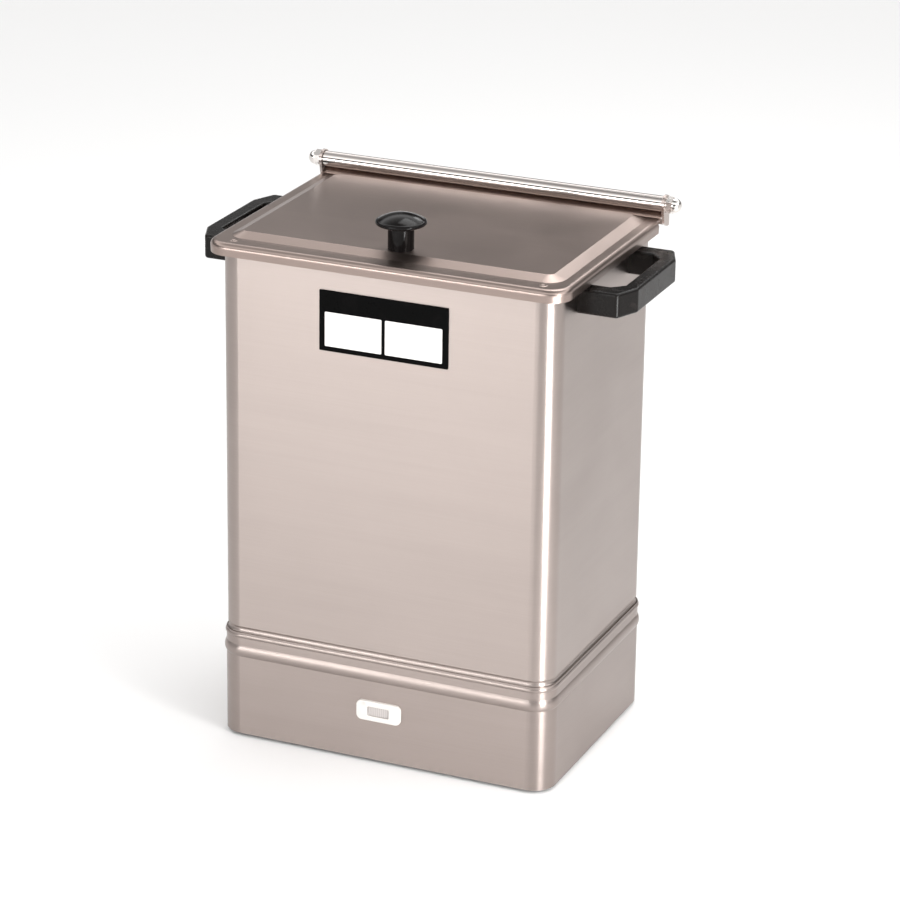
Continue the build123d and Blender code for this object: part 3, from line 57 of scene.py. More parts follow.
# ---- node sheets ---------------------------------------------------------------------
class Sheet:
    """A material's node tree, with short calls for the nodes that the finishes use."""

    def __init__(self, name: str) -> None:
        """Start an empty tree that holds a Principled shader and its output.

        Args:
            name: the material's name.
        """
        self.material = bpy.data.materials.new(name)
        self.material.use_nodes = True
        self.tree = self.material.node_tree
        self.tree.nodes.clear()
        output = self.tree.nodes.new("ShaderNodeOutputMaterial")
        self.shader = self.tree.nodes.new("ShaderNodeBsdfPrincipled")
        self.tree.links.new(self.shader.outputs["BSDF"], output.inputs["Surface"])
        self.place = self.tree.nodes.new("ShaderNodeTexCoord").outputs["Object"]

    def set(self, **constants: float | Colour) -> None:
        """Set constants on the shader's own sockets.

        Args:
            constants: values by socket name, with underscores for spaces.
        """
        for key, value in constants.items():
            socket = self.shader.inputs[key.replace("_", " ")]
            socket.default_value = (*value, 1.0) if isinstance(value, tuple) else value

    def drive(self, socket: str, source: bpy.types.NodeSocket) -> None:
        """Link a source into one of the shader's sockets.

        Args:
            socket: the shader's socket.
            source: the output that feeds it.
        """
        self.tree.links.new(source, self.shader.inputs[socket])

    def noise(self, scale: Triple, detail: float = 3.0, distortion: float = 0.0) -> bpy.types.NodeSocket:
        """Noise on Object coordinates, stretched by a scale along each axis.

        Args:
            scale: cells per metre along X, Y and Z.
            detail: octaves of the noise.
            distortion: how far the pattern is pulled out of line.

        Returns:
            The noise's value, about 0.5 in the middle.
        """
        mapping = self.tree.nodes.new("ShaderNodeMapping")
        mapping.inputs["Scale"].default_value = scale
        texture = self.tree.nodes.new("ShaderNodeTexNoise")
        texture.inputs["Scale"].default_value = 1.0
        texture.inputs["Detail"].default_value = detail
        texture.inputs["Distortion"].default_value = distortion
        self.tree.links.new(self.place, mapping.inputs["Vector"])
        self.tree.links.new(mapping.outputs["Vector"], texture.inputs["Vector"])
        return texture.outputs["Fac"]

    def waves(self, axis: str, per_metre: float) -> bpy.types.NodeSocket:
        """Straight ribs across one axis.

        Args:
            axis: X, Y or Z.
            per_metre: ribs in a metre.

        Returns:
            The ribs' height from 0 to 1.
        """
        texture = self.tree.nodes.new("ShaderNodeTexWave")
        texture.bands_direction = axis
        texture.inputs["Scale"].default_value = per_metre * 2.0 * math.pi / WAVE_PHASE
        self.tree.links.new(self.place, texture.inputs["Vector"])
        return texture.outputs["Fac"]

    def span(self, source: bpy.types.NodeSocket, low: float, high: float,
             start: float = 0.3, end: float = 0.7) -> bpy.types.NodeSocket:
        """Spread a source's middle range over new limits.

        Args:
            source: the value to spread.
            low: result at start.
            high: result at end.
            start: lower end of the source's range.
            end: upper end of the source's range.

        Returns:
            The spread value.
        """
        node = self.tree.nodes.new("ShaderNodeMapRange")
        for key, value in (("From Min", start), ("From Max", end), ("To Min", low), ("To Max", high)):
            node.inputs[key].default_value = value
        self.tree.links.new(source, node.inputs["Value"])
        return node.outputs["Result"]

    def add(self, one: bpy.types.NodeSocket, other: bpy.types.NodeSocket) -> bpy.types.NodeSocket:
        """Add two values.

        Args:
            one: the first value.
            other: the second value.

        Returns:
            Their sum.
        """
        node = self.tree.nodes.new("ShaderNodeMath")
        self.tree.links.new(one, node.inputs[0])
        self.tree.links.new(other, node.inputs[1])
        return node.outputs[0]

    def blend(self, share: bpy.types.NodeSocket, first: Colour, second: Colour) -> bpy.types.NodeSocket:
        """Mix two colours.

        Args:
            share: how much of the second colour shows.
            first: colour at 0.
            second: colour at 1.

        Returns:
            The mixed colour.
        """
        node = self.tree.nodes.new("ShaderNodeMix")
        node.data_type = "RGBA"
        for number, colour in zip(MIX_COLOURS, (first, second)):
            node.inputs[number].default_value = (*colour, 1.0)
        self.tree.links.new(share, node.inputs[MIX_SHARE])
        return node.outputs[MIX_COLOUR_OUT]

    def along(self, axis: str) -> bpy.types.NodeSocket:
        """Place along one axis of the heater's own frame.

        Args:
            axis: X, Y or Z.

        Returns:
            The place in metres.
        """
        node = self.tree.nodes.new("ShaderNodeSeparateXYZ")
        self.tree.links.new(self.place, node.inputs["Vector"])
        return node.outputs[axis]

    def mix(self, share: bpy.types.NodeSocket, first: bpy.types.NodeSocket,
            second: Colour) -> bpy.types.NodeSocket:
        """Mix a made colour with a plain one.

        Args:
            share: how much of the plain colour shows.
            first: the made colour.
            second: the plain colour.

        Returns:
            The mixed colour.
        """
        node = self.tree.nodes.new("ShaderNodeMix")
        node.data_type = "RGBA"
        node.inputs[MIX_COLOURS[1]].default_value = (*second, 1.0)
        self.tree.links.new(share, node.inputs[MIX_SHARE])
        self.tree.links.new(first, node.inputs[MIX_COLOURS[0]])
        return node.outputs[MIX_COLOUR_OUT]

    def fade(self, share: bpy.types.NodeSocket, first: bpy.types.NodeSocket,
             second: float) -> bpy.types.NodeSocket:
        """Mix a made value with a plain one.

        Args:
            share: how much of the plain value shows.
            first: the made value.
            second: the plain value.

        Returns:
            The mixed value.
        """
        node = self.tree.nodes.new("ShaderNodeMix")
        node.inputs[MIX_VALUES[1]].default_value = second
        self.tree.links.new(share, node.inputs[MIX_SHARE])
        self.tree.links.new(first, node.inputs[MIX_VALUES[0]])
        return node.outputs[MIX_VALUE_OUT]

    def emboss(self, height: bpy.types.NodeSocket, depth: float, strength: float = 1.0,
               under: bpy.types.NodeSocket | None = None) -> bpy.types.NodeSocket:
        """Bump from a height.

        Args:
            height: the height, from 0 to 1.
            depth: its full depth in metres.
            strength: share of the bump that shows.
            under: a bump that this one lies on.

        Returns:
            The bumped normal.
        """
        node = self.tree.nodes.new("ShaderNodeBump")
        node.inputs["Strength"].default_value = strength
        node.inputs["Distance"].default_value = depth
        self.tree.links.new(height, node.inputs["Height"])
        if under is not None:
            self.tree.links.new(under, node.inputs["Normal"])
        return node.outputs["Normal"]

    def brush_round(self, axis: str) -> None:
        """Turn the highlight's stretch round an axis, as brushing along it does.

        Args:
            axis: X, Y or Z.
        """
        node = self.tree.nodes.new("ShaderNodeTangent")
        node.direction_type = "RADIAL"
        node.axis = axis
        self.tree.links.new(node.outputs["Tangent"], self.shader.inputs["Tangent"])


class Grain(Enum):
    """Which way a metal's grain runs: cells per metre along X, Y and Z, and its brushing axis."""

    LEVEL = ((6.0, 6.0, 1500.0), "Z")
    ALONG_LID = ((6.0, 1500.0, 1500.0), "X")


# ---- finishes ------------------------------------------------------------------------
@dataclass(frozen=True)
class SatinSteel:
    """Satin-ground stainless sheet with a faint grain, soft waviness and handling marks.

    Cells are counts per metre, depths are metres, and buffed_from holds the height in millimetres where
    a brighter polish starts, its colour and its roughness.
    """

    name: str
    colour: Colour
    roughness: float
    grain: Grain
    stretch: float = 0.5
    waviness: float = 0.00006
    buffed_from: tuple[float, Colour, float] | None = None
    buff_edge: float = 1.0
    broad_cells: float = 60.0
    mark_cells: float = 9.0
    swell_cells: Triple = (7.0, 7.0, 5.0)
    swell_share: float = 10.0
    dulling: float = 0.93
    rotation: float = 0.25
    tint_range: tuple[float, float] = (0.6, 1.4)
    streak_rough: float = 0.03
    mark_rough: tuple[float, float] = (-0.02, 0.03)
    grain_depth: float = 0.000004

    def make(self) -> bpy.types.Material:
        """Build the material.

        Returns:
            The finished material.
        """
        sheet = Sheet(self.name)
        scale, axis = self.grain.value
        streaks = sheet.noise(scale, detail=4.0)
        broad = sheet.noise(tuple(min(cells, self.broad_cells) for cells in scale), distortion=0.4)
        marks = sheet.noise((self.mark_cells,) * 3, detail=5.0, distortion=0.8)
        dull = tuple(self.dulling * value for value in self.colour)
        sheet.set(Metallic=1.0, Anisotropic=self.stretch, Anisotropic_Rotation=self.rotation)
        sheet.brush_round(axis)
        share = sheet.span(sheet.add(streaks, broad), 0.0, 1.0, *self.tint_range)
        tint = sheet.blend(share, dull, self.colour)
        low, high = (self.roughness + change for change in self.mark_rough)
        rough = sheet.add(sheet.span(streaks, -self.streak_rough, self.streak_rough),
                          sheet.span(marks, low, high))
        if self.buffed_from is not None:
            start, polished, smooth = self.buffed_from
            buffed = sheet.span(sheet.along("Z"), 0.0, 1.0, start * MM, (start + self.buff_edge) * MM)
            tint = sheet.mix(buffed, tint, polished)
            rough = sheet.fade(buffed, rough, smooth)
        sheet.drive("Base Color", tint)
        sheet.drive("Roughness", rough)
        soft = sheet.emboss(sheet.noise(self.swell_cells, detail=1.0), self.waviness * self.swell_share)
        sheet.drive("Normal", sheet.emboss(streaks, self.grain_depth, under=soft))
        return sheet.material


@dataclass(frozen=True)
class BrightMetal:
    """Plain bright metal, such as plated screws, drawn wire and turned brass."""

    name: str
    colour: Colour
    roughness: float
    fleck: float = 250.0
    depth: float = 0.000004
    cloud_cells: float = 35.0
    dulling: float = 0.82
    rough_share: tuple[float, float] = (0.7, 1.4)

    def make(self) -> bpy.types.Material:
        """Build the material.

        Returns:
            The finished material.
        """
        sheet = Sheet(self.name)
        fine = sheet.noise((self.fleck,) * 3, detail=4.0)
        cloud = sheet.noise((self.cloud_cells,) * 3, distortion=0.5)
        dull = tuple(self.dulling * value for value in self.colour)
        sheet.set(Metallic=1.0)
        sheet.drive("Base Color", sheet.blend(sheet.span(cloud, 0.0, 1.0), dull, self.colour))
        low, high = (self.roughness * share for share in self.rough_share)
        sheet.drive("Roughness", sheet.span(fine, low, high))
        sheet.drive("Normal", sheet.emboss(fine, self.depth))
        return sheet.material


@dataclass(frozen=True)
class Moulding:
    """Moulded plastic or rubber with a fine pebble, scuffs and an optional clear gloss."""

    name: str
    colour: Colour
    roughness: float
    scuffed: Colour
    pebble: float = 900.0
    depth: float = 0.00001
    gloss: float = 0.0
    shine: float = 0.5
    coat_rough: float = 0.12
    scuff_cells: float = 60.0
    scuff_tint: tuple[float, float] = (0.58, 0.8)
    scuff_rough: tuple[float, float, float, float] = (-0.02, 0.1, 0.4, 0.75)
    pebble_rough: float = 0.03

    def make(self) -> bpy.types.Material:
        """Build the material.

        Returns:
            The finished material.
        """
        sheet = Sheet(self.name)
        pebble = sheet.noise((self.pebble,) * 3)
        scuff = sheet.noise((self.scuff_cells,) * 3, detail=6.0, distortion=1.2)
        sheet.set(Coat_Weight=self.gloss, Coat_Roughness=self.coat_rough, Specular_IOR_Level=self.shine)
        share = sheet.span(scuff, 0.0, 1.0, *self.scuff_tint)
        sheet.drive("Base Color", sheet.blend(share, self.colour, self.scuffed))
        fine = sheet.span(pebble, self.roughness - self.pebble_rough, self.roughness + self.pebble_rough)
        sheet.drive("Roughness", sheet.add(sheet.span(scuff, *self.scuff_rough), fine))
        sheet.drive("Normal", sheet.emboss(pebble, self.depth))
        return sheet.material


@dataclass(frozen=True)
class RibbedLens:
    """Frosted lens with fine ribs on its inner face that show through it, with painted shade in each rib's
    groove.
    """

    name: str
    colour: Colour
    deep: Colour
    ribs_per_metre: float = 620.0
    rib_depth: float = 0.00012
    rib_share: float = 0.7
    cloud_cells: float = 180.0
    clearness: float = 0.12
    index: float = 1.49
    gloss: float = 0.4
    coat_rough: float = 0.15
    rough: tuple[float, float] = (0.32, 0.45)

    def make(self) -> bpy.types.Material:
        """Build the material.

        Returns:
            The finished material.
        """
        sheet = Sheet(self.name)
        ribs = sheet.waves("X", self.ribs_per_metre)
        cloud = sheet.noise((self.cloud_cells,) * 3)
        sheet.set(Transmission_Weight=self.clearness, IOR=self.index, Coat_Weight=self.gloss,
                  Coat_Roughness=self.coat_rough)
        # Painted shade: the colour darkens from the ribs' tops into their grooves.
        share = sheet.span(ribs, 0.0, self.rib_share, 0.0, 1.0)
        sheet.drive("Base Color", sheet.blend(share, self.deep, self.colour))
        sheet.drive("Roughness", sheet.span(cloud, *self.rough))
        sheet.drive("Normal", sheet.emboss(ribs, self.rib_depth, self.rib_share))
        return sheet.material


class Finish(Enum):
    """Every finish on the heater."""

    BODY = SatinSteel("satin_steel_body", (0.385, 0.330, 0.306), 0.34, Grain.LEVEL, stretch=0.85)
    # The skirt's steel is the body's steel made about a tenth darker: painted shade towards the bottom.
    SKIRT = SatinSteel("satin_steel_skirt_painted_shade", (0.345, 0.293, 0.271), 0.33, Grain.LEVEL, stretch=0.85)
    # The lid's colour is darker and browner than the body's steel: painted shade on the lid's upward faces.
    LID = SatinSteel("satin_steel_lid_painted_shade", (0.325, 0.258, 0.231), 0.32, Grain.ALONG_LID,
                     stretch=0.3, waviness=0.00003, buffed_from=(412.8, (0.60, 0.555, 0.53), 0.13))
    BRACKET = SatinSteel("satin_steel_bracket", (0.50, 0.43, 0.40), 0.27, Grain.ALONG_LID, stretch=0.2)
    PLATED = BrightMetal("bright_plating", (0.80, 0.76, 0.73), 0.10)
    WIRE = BrightMetal("drawn_wire", (0.70, 0.67, 0.65), 0.22, fleck=500.0, depth=0.00001)
    SHEATH = BrightMetal("heater_sheath", (0.42, 0.39, 0.37), 0.38, fleck=300.0, depth=0.00002)
    ZINC = BrightMetal("zinc_plate", (0.56, 0.57, 0.58), 0.36, fleck=120.0, depth=0.00001)
    BRASS = BrightMetal("turned_brass", (0.74, 0.56, 0.28), 0.22)
    HANDLE = Moulding("black_phenolic", (0.006, 0.005, 0.0045), 0.24, (0.018, 0.014, 0.013),
                      gloss=0.06, shine=0.14)
    KNOB = Moulding("black_knob", (0.006, 0.005, 0.005), 0.10, (0.014, 0.012, 0.011),
                    pebble=500.0, depth=0.000003, gloss=0.02, shine=0.12)
    RUBBER = Moulding("black_rubber", (0.022, 0.021, 0.02), 0.72, (0.07, 0.067, 0.063),
                      pebble=1400.0, depth=0.00003)
    BEZEL = Moulding("white_bezel", (0.66, 0.63, 0.60), 0.34, (0.56, 0.53, 0.50),
                     pebble=1100.0, depth=0.000006, gloss=0.2)
    # The lens's second colour is painted shade for the ribs' grooves.
    LENS = RibbedLens("ribbed_lens", (0.62, 0.58, 0.56), (0.42, 0.385, 0.37))
    HOUSING = Moulding("black_housing", (0.03, 0.03, 0.03), 0.5, (0.08, 0.08, 0.08))
    SLEEVE = Moulding("lead_sleeve", (0.46, 0.42, 0.34), 0.6, (0.34, 0.30, 0.24),
                      pebble=1600.0, depth=0.00005)
    ENAMEL = Moulding("plate_enamel", (0.002, 0.002, 0.002), 0.3, (0.004, 0.0035, 0.0035),
                      pebble=700.0, depth=0.000004, shine=0.03)
    FIELD = Moulding("plate_field", (0.84, 0.81, 0.79), 0.36, (0.72, 0.68, 0.65),
                     pebble=700.0, depth=0.000004, gloss=0.2)
    FIGURES = Moulding("dial_figures", (0.80, 0.79, 0.76), 0.45, (0.6, 0.58, 0.55))


@dataclass
class Paintbox:
    """Makes each finish once and puts it on nodes and pieces."""

    made: dict[Finish, bpy.types.Material] = field(default_factory=dict)

    def material(self, finish: Finish) -> bpy.types.Material:
        """Make a finish, or fetch the one already made.

        Args:
            finish: the finish to make.

        Returns:
            Its material.
        """
        if finish not in self.made:
            self.made[finish] = finish.value.make()
        return self.made[finish]

    def coat(self, thing: bpy.types.Object, finish: Finish) -> None:
        """Give an object one finish all over.

        Args:
            thing: the object.
            finish: its finish.
        """
        thing.data.materials.clear()
        thing.data.materials.append(self.material(finish))

    def coat_nodes(self, finish: Finish, *names: str) -> None:
        """Give carried-over nodes one finish.

        Args:
            finish: the finish.
            names: the nodes.
        """
        for name in names:
            self.coat(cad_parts[name], finish)
            LOG.info("%s wears %s", name, finish.value.name)


@dataclass(frozen=True)
class Screw:
    """A pan-head screw with a cross recess: sizes in millimetres, and the recess in shares of the head."""

    shank: float
    head: float
    height: float
    length: float
    turns: int = 32
    rounding: float = 0.45
    arc_steps: int = 6
    tip: float = 0.3
    arm: float = 0.13
    reach: float = 0.62
    depth: float = 0.42
    taper: float = 0.7

    def shape(self) -> bmesh.types.BMesh:
        """Build the screw with its bearing face at the origin, its shank along +Z and its head below.

        Returns:
            The screw's mesh in metres.
        """
        mesh = bmesh.new()
        edge = self.rounding * self.height
        cap = self.head - edge
        bends = [step * math.pi / (2 * self.arc_steps) for step in range(self.arc_steps + 1)]
        arc = [(cap + edge * math.sin(bend), -self.height + edge * (1.0 - math.cos(bend))) for bend in bends]
        tip = self.tip * self.shank
        turned(mesh, [*arc, (self.head, 0.0), (self.shank, 0.0), (self.shank, self.length - tip),
                      (self.shank - tip, self.length), (0.0, self.length)], self.turns)
        bmesh.ops.create_circle(mesh, cap_ends=True, segments=self.turns, radius=cap * MM,
                                matrix=Matrix.Translation(metres(0.0, 0.0, -self.height)))
        bmesh.ops.remove_doubles(mesh, verts=mesh.verts, dist=MERGE)
        self.sink_cross(mesh)
        return mesh

    def sink_cross(self, mesh: bmesh.types.BMesh) -> None:
        """Cut a cross into the flat of the head and sink it.

        Args:
            mesh: the closed screw, in metres.
        """
        flat = [face for face in mesh.faces
                if all(abs(vert.co.z + self.height * MM) < MERGE for vert in face.verts)]
        arm, reach = self.arm * self.head, self.reach * self.head
        for offset in (-reach, -arm, arm, reach):
            for normal in ((1.0, 0.0, 0.0), (0.0, 1.0, 0.0)):
                parts = {part for face in flat for part in (face, *face.edges, *face.verts)}
                cut = bmesh.ops.bisect_plane(mesh, geom=list(parts), dist=ON_PLANE, plane_no=normal,
                                             plane_co=Vector(normal) * offset * MM)
                flat = [part for part in cut["geom"] if isinstance(part, bmesh.types.BMFace)]
        cross = []
        for face in flat:
            near, far = sorted(abs(place) for place in face.calc_center_median().xy)
            if near < arm * MM and far < reach * MM:
                cross.append(face)
        sunk = bmesh.ops.extrude_face_region(mesh, geom=cross)
        bmesh.ops.delete(mesh, geom=[face for face in cross if face.is_valid], context="FACES")
        floor = [part for part in sunk["geom"] if isinstance(part, bmesh.types.BMVert)]
        bmesh.ops.translate(mesh, verts=floor, vec=metres(0.0, 0.0, self.depth * self.height))
        bmesh.ops.scale(mesh, verts=floor, vec=(self.taper, self.taper, 1.0))


def metres(*sizes: float) -> Vector:
    """Turn sizes in millimetres into a vector in metres.

    Args:
        sizes: X, Y and Z in millimetres.

    Returns:
        The vector.
    """
    return Vector(sizes) * MM


def seat(*place: float, turn: float = 0.0, axis: str = "Z") -> Matrix:
    """A place in millimetres with a turn about one axis.

    Args:
        place: X, Y and Z in millimetres.
        turn: degrees.
        axis: X, Y or Z.

    Returns:
        The matrix that puts a shape there.
    """
    return Matrix.Translation(metres(*place)) @ Matrix.Rotation(math.radians(turn), 4, axis)


def turned(mesh: bmesh.types.BMesh, profile: list[tuple[float, float]], turns: int) -> None:
    """Turn a profile round Z.

    Args:
        mesh: the mesh that the shape is added to.
        profile: radius and height of each point, in millimetres.
        turns: steps in the full turn.
    """
    verts = [mesh.verts.new(metres(radius, 0.0, height)) for radius, height in profile]
    edges = [mesh.edges.new(pair) for pair in zip(verts, verts[1:])]
    bmesh.ops.spin(mesh, geom=[*verts, *edges], cent=(0, 0, 0), axis=(0, 0, 1), angle=2 * math.pi,
                   steps=turns, use_merge=True)


def repeat(mesh: bmesh.types.BMesh, seats: list[Matrix]) -> bmesh.types.BMesh:
    """Put a copy of what the mesh holds at each seat, in place of the first.

    Args:
        mesh: the mesh, which holds one shape at the origin.
        seats: where the copies go.

    Returns:
        The same mesh.
    """
    first = [*mesh.verts, *mesh.edges, *mesh.faces]
    for place in seats:
        copy = bmesh.ops.duplicate(mesh, geom=first)["geom"]
        bmesh.ops.transform(mesh, matrix=place,
                            verts=[part for part in copy if isinstance(part, bmesh.types.BMVert)])
    bmesh.ops.delete(mesh, context="VERTS",
                     geom=[part for part in first if isinstance(part, bmesh.types.BMVert)])
    return mesh


def piece(name: str, mesh: bmesh.types.BMesh, body: str, smooth: bool = True) -> bpy.types.Object:
    """Turn a finished bmesh into an object at the origin that rides on a body.

    Args:
        name: the piece's name.
        mesh: its mesh in metres, in the heater's own frame.
        body: the body that it moves with.
        smooth: whether its faces are shaded smooth below a sharp angle.

    Returns:
        The new object.
    """
    bmesh.ops.remove_doubles(mesh, verts=mesh.verts, dist=MERGE)
    bmesh.ops.recalc_face_normals(mesh, faces=mesh.faces)
    data = bpy.data.meshes.new(name)
    mesh.to_mesh(data)
    mesh.free()
    if smooth:
        data.shade_smooth()
        data.set_sharp_from_angle(angle=math.radians(SMOOTH_BELOW))
    thing = bpy.data.objects.new(name, data)
    bpy.context.scene.collection.objects.link(thing)
    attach(thing, body)
    LOG.info("%s: %d faces on %s", name, len(data.polygons), body)
    return thing


# ---- sub-assemblies ------------------------------------------------------------------
@dataclass
class TankBody:
    """The drawn tank, its skirt and its front plate."""

    paint: Paintbox

    def dress(self) -> None:
        """Give the tank, skirt and plate their finishes."""
        self.paint.coat_nodes(Finish.BODY, "tank")
        self.paint.coat_nodes(Finish.SKIRT, "base_skirt")
        self.paint.coat_nodes(Finish.ENAMEL, "front_plate")
        self.paint.coat_nodes(Finish.FIELD, "front_plate_fields")


@dataclass
class Lid:
    """The pressed lid with its knob and hinge; sizes in millimetres."""

    paint: Paintbox
    knob_screw: Screw = Screw(shank=2.4, head=4.6, height=2.8, length=14.8)
    knob_screw_place: Triple = (0.0, -71.0, 410.3)
    dimple_reach: float = 126.0
    dimple_y: float = -98.0
    border_z: float = 409.0
    dimple_turns: int = 28
    dimple_profile: tuple[tuple[float, float], ...] = (
        (0.0, 0.02), (0.9, 0.04), (1.5, 0.30), (2.1, 0.34), (2.7, 0.18), (3.3, -0.03), (0.0, -0.03))

    def dress(self) -> None:
        """Give the lid, knob and hinge their finishes."""
        self.paint.coat_nodes(Finish.LID, "lid_pan")
        self.paint.coat_nodes(Finish.KNOB, "lid_knob")
        self.paint.coat_nodes(Finish.RUBBER, "lid_knob_washer")
        self.paint.coat_nodes(Finish.BRACKET, "hinge_bracket_left", "hinge_bracket_right")
        self.paint.coat_nodes(Finish.PLATED, "hinge_rod", "hinge_washers", "hinge_cap_nuts")
        self.press_dimples()
        seats = [seat(*self.knob_screw_place)]
        screw = piece("lid_knob_screw_cut", repeat(self.knob_screw.shape(), seats), "lid")
        self.paint.coat(screw, Finish.PLATED)
        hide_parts("lid_knob_screw")

    def press_dimples(self) -> None:
        """Press a small ring dimple into each front corner of the lid's border."""
        mesh = bmesh.new()
        turned(mesh, [*self.dimple_profile], self.dimple_turns)
        seats = [seat(side * self.dimple_reach, self.dimple_y, self.border_z) for side in (-1, 1)]
        rings = piece("lid_dimples", repeat(mesh, seats), "lid")
        self.paint.coat(rings, Finish.LID)


@dataclass
class SideHandles:
    """Both moulded handles with their screws; sizes in millimetres."""

    paint: Paintbox
    screw: Screw = Screw(shank=2.4, head=4.6, height=2.8, length=17.0)
    screw_x: float = 136.3
    screw_y: float = 52.5
    screw_z: float = 387.5

    def dress(self) -> None:
        """Give the handles and their fixings their finishes."""
        self.paint.coat_nodes(Finish.HANDLE, "handle_left", "handle_right")
        seats = [seat(side * self.screw_x, y, self.screw_z, turn=side * QUARTER_TURN, axis="Y")
                 for side in (-1, 1) for y in (-self.screw_y, self.screw_y)]
        screws = piece("handle_screws_cut", repeat(self.screw.shape(), seats), "cabinet")
        self.paint.coat(screws, Finish.PLATED)
        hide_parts("handle_screws")
        self.paint.coat_nodes(Finish.RUBBER, "handle_seals")


@dataclass
class PilotLamp:
    """The pilot lamp in the base skirt."""

    paint: Paintbox

    def dress(self) -> None:
        """Give the lamp its finishes."""
        self.paint.coat_nodes(Finish.BEZEL, "lamp_bezel")
        self.paint.coat_nodes(Finish.LENS, "lamp_lens")
        self.paint.coat_nodes(Finish.HOUSING, "lamp_body")


@dataclass
class BaseUnderside:
    """Base plate, feet, thermostat and the mains side; sizes in millimetres, figures in metres."""

    paint: Paintbox
    foot_screw: Screw = Screw(shank=1.9, head=3.8, height=2.4, length=12.2)
    foot_x: float = 112.0
    foot_y: float = 74.0
    foot_screw_z: float = 7.0
    plate_screw: Screw = Screw(shank=1.7, head=3.4, height=2.2, length=4.2)
    side_tab: tuple[float, float] = (131.05, 30.0)
    end_tab_y: float = 93.8
    plate_z: float = 13.0
    screw_turn: float = 17.0
    dial_place: Triple = (62.0, 30.0, 2.0)
    middle_figure: int = 4
    figure_turn: float = 45.0
    figure_reach: float = 8.4
    figure_size: float = 0.0042
    figure_thickness: float = 0.00005
    tick_reach: float = 11.8
    tick_size: Triple = (0.5, 1.6, 0.1)
    pointer_reach: float = 18.5
    pointer_radius: float = 2.6
    pointer_thickness: float = 0.3

    def dress(self) -> None:
        """Give everything under the tank its finishes."""
        self.paint.coat_nodes(Finish.ZINC, "base_plate", "base_plate_tabs")
        self.paint.coat_nodes(Finish.PLATED, "foot_nuts", "terminal_screws", "earth_stud", "earth_nut")
        self.drive_screws()
        self.mark_dial()
        self.place_pointer()
        self.paint.coat_nodes(Finish.RUBBER, "rubber_feet", "cord_inlet", "cord_inlet_nut",
                              "element_gaskets")
        self.paint.coat_nodes(Finish.HOUSING, "thermostat_body", "thermostat_dial", "terminal_block")
        self.paint.coat_nodes(Finish.BRASS, "thermostat_nut", "element_nuts", "capillary_gland")
        self.paint.coat_nodes(Finish.SLEEVE, "internal_leads")

    def drive_screws(self) -> None:
        """Put recessed screws in the base plate and the feet."""
        feet = [(x, y) for x in (-self.foot_x, self.foot_x) for y in (-self.foot_y, self.foot_y)]
        tab_x, tab_y = self.side_tab
        tabs = [*((x, y) for x in (-tab_x, tab_x) for y in (-tab_y, tab_y)),
                (0.0, -self.end_tab_y), (0.0, self.end_tab_y)]
        for name, screw, places, height in (("foot_screws", self.foot_screw, feet, self.foot_screw_z),
                                            ("base_plate_screws", self.plate_screw, tabs, self.plate_z)):
            seats = [seat(x, y, height, turn=self.screw_turn * index) for index, (x, y) in enumerate(places)]
            made = piece(f"{name}_cut", repeat(screw.shape(), seats), "cabinet")
            self.paint.coat(made, Finish.PLATED)
            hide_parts(name)

    def mark_dial(self) -> None:
        """Print figures and ticks on the dial's underside."""
        low = seat(*self.dial_place, turn=HALF_TURN, axis="X")
        mesh = bmesh.new()
        for figure in range(1, 2 * self.middle_figure):
            steps = figure - self.middle_figure
            turn = Matrix.Rotation(math.radians(-self.figure_turn * steps), 4, "Z")
            words = bpy.data.curves.new("figure", "FONT")
            words.body, words.size, words.extrude = str(figure), self.figure_size, self.figure_thickness
            words.align_x, words.align_y = "CENTER", "CENTER"
            holder = bpy.data.objects.new("figure", words)
            shape = bpy.data.meshes.new_from_object(holder)
            shape.transform(low @ turn @ seat(0.0, self.figure_reach, 0.0))
            mesh.from_mesh(shape)
            bpy.data.objects.remove(holder)
            made = bmesh.ops.create_cube(mesh, size=MM)
            place = low @ turn @ Matrix.Translation(metres(0.0, self.tick_reach, 0.0))
            bmesh.ops.transform(mesh, verts=made["verts"],
                                matrix=place @ Matrix.Diagonal((*self.tick_size, 1.0)))
        marks = piece("dial_marks", mesh, "dial", smooth=False)
        self.paint.coat(marks, Finish.FIGURES)

    def place_pointer(self) -> None:
        """Put the pointer that the dial's figures turn past on the base plate."""
        mesh = bmesh.new()
        radius, depth = self.pointer_radius * MM, self.pointer_thickness * MM
        made = bmesh.ops.create_cone(mesh, cap_ends=True, segments=3, radius1=radius, radius2=radius,
                                     depth=depth)
        x, y, _ = self.dial_place
        bmesh.ops.transform(mesh, verts=made["verts"], matrix=seat(x, y - self.pointer_reach, self.plate_z))
        pointer = piece("dial_pointer", mesh, "cabinet", smooth=False)
        self.paint.coat(pointer, Finish.FIGURES)


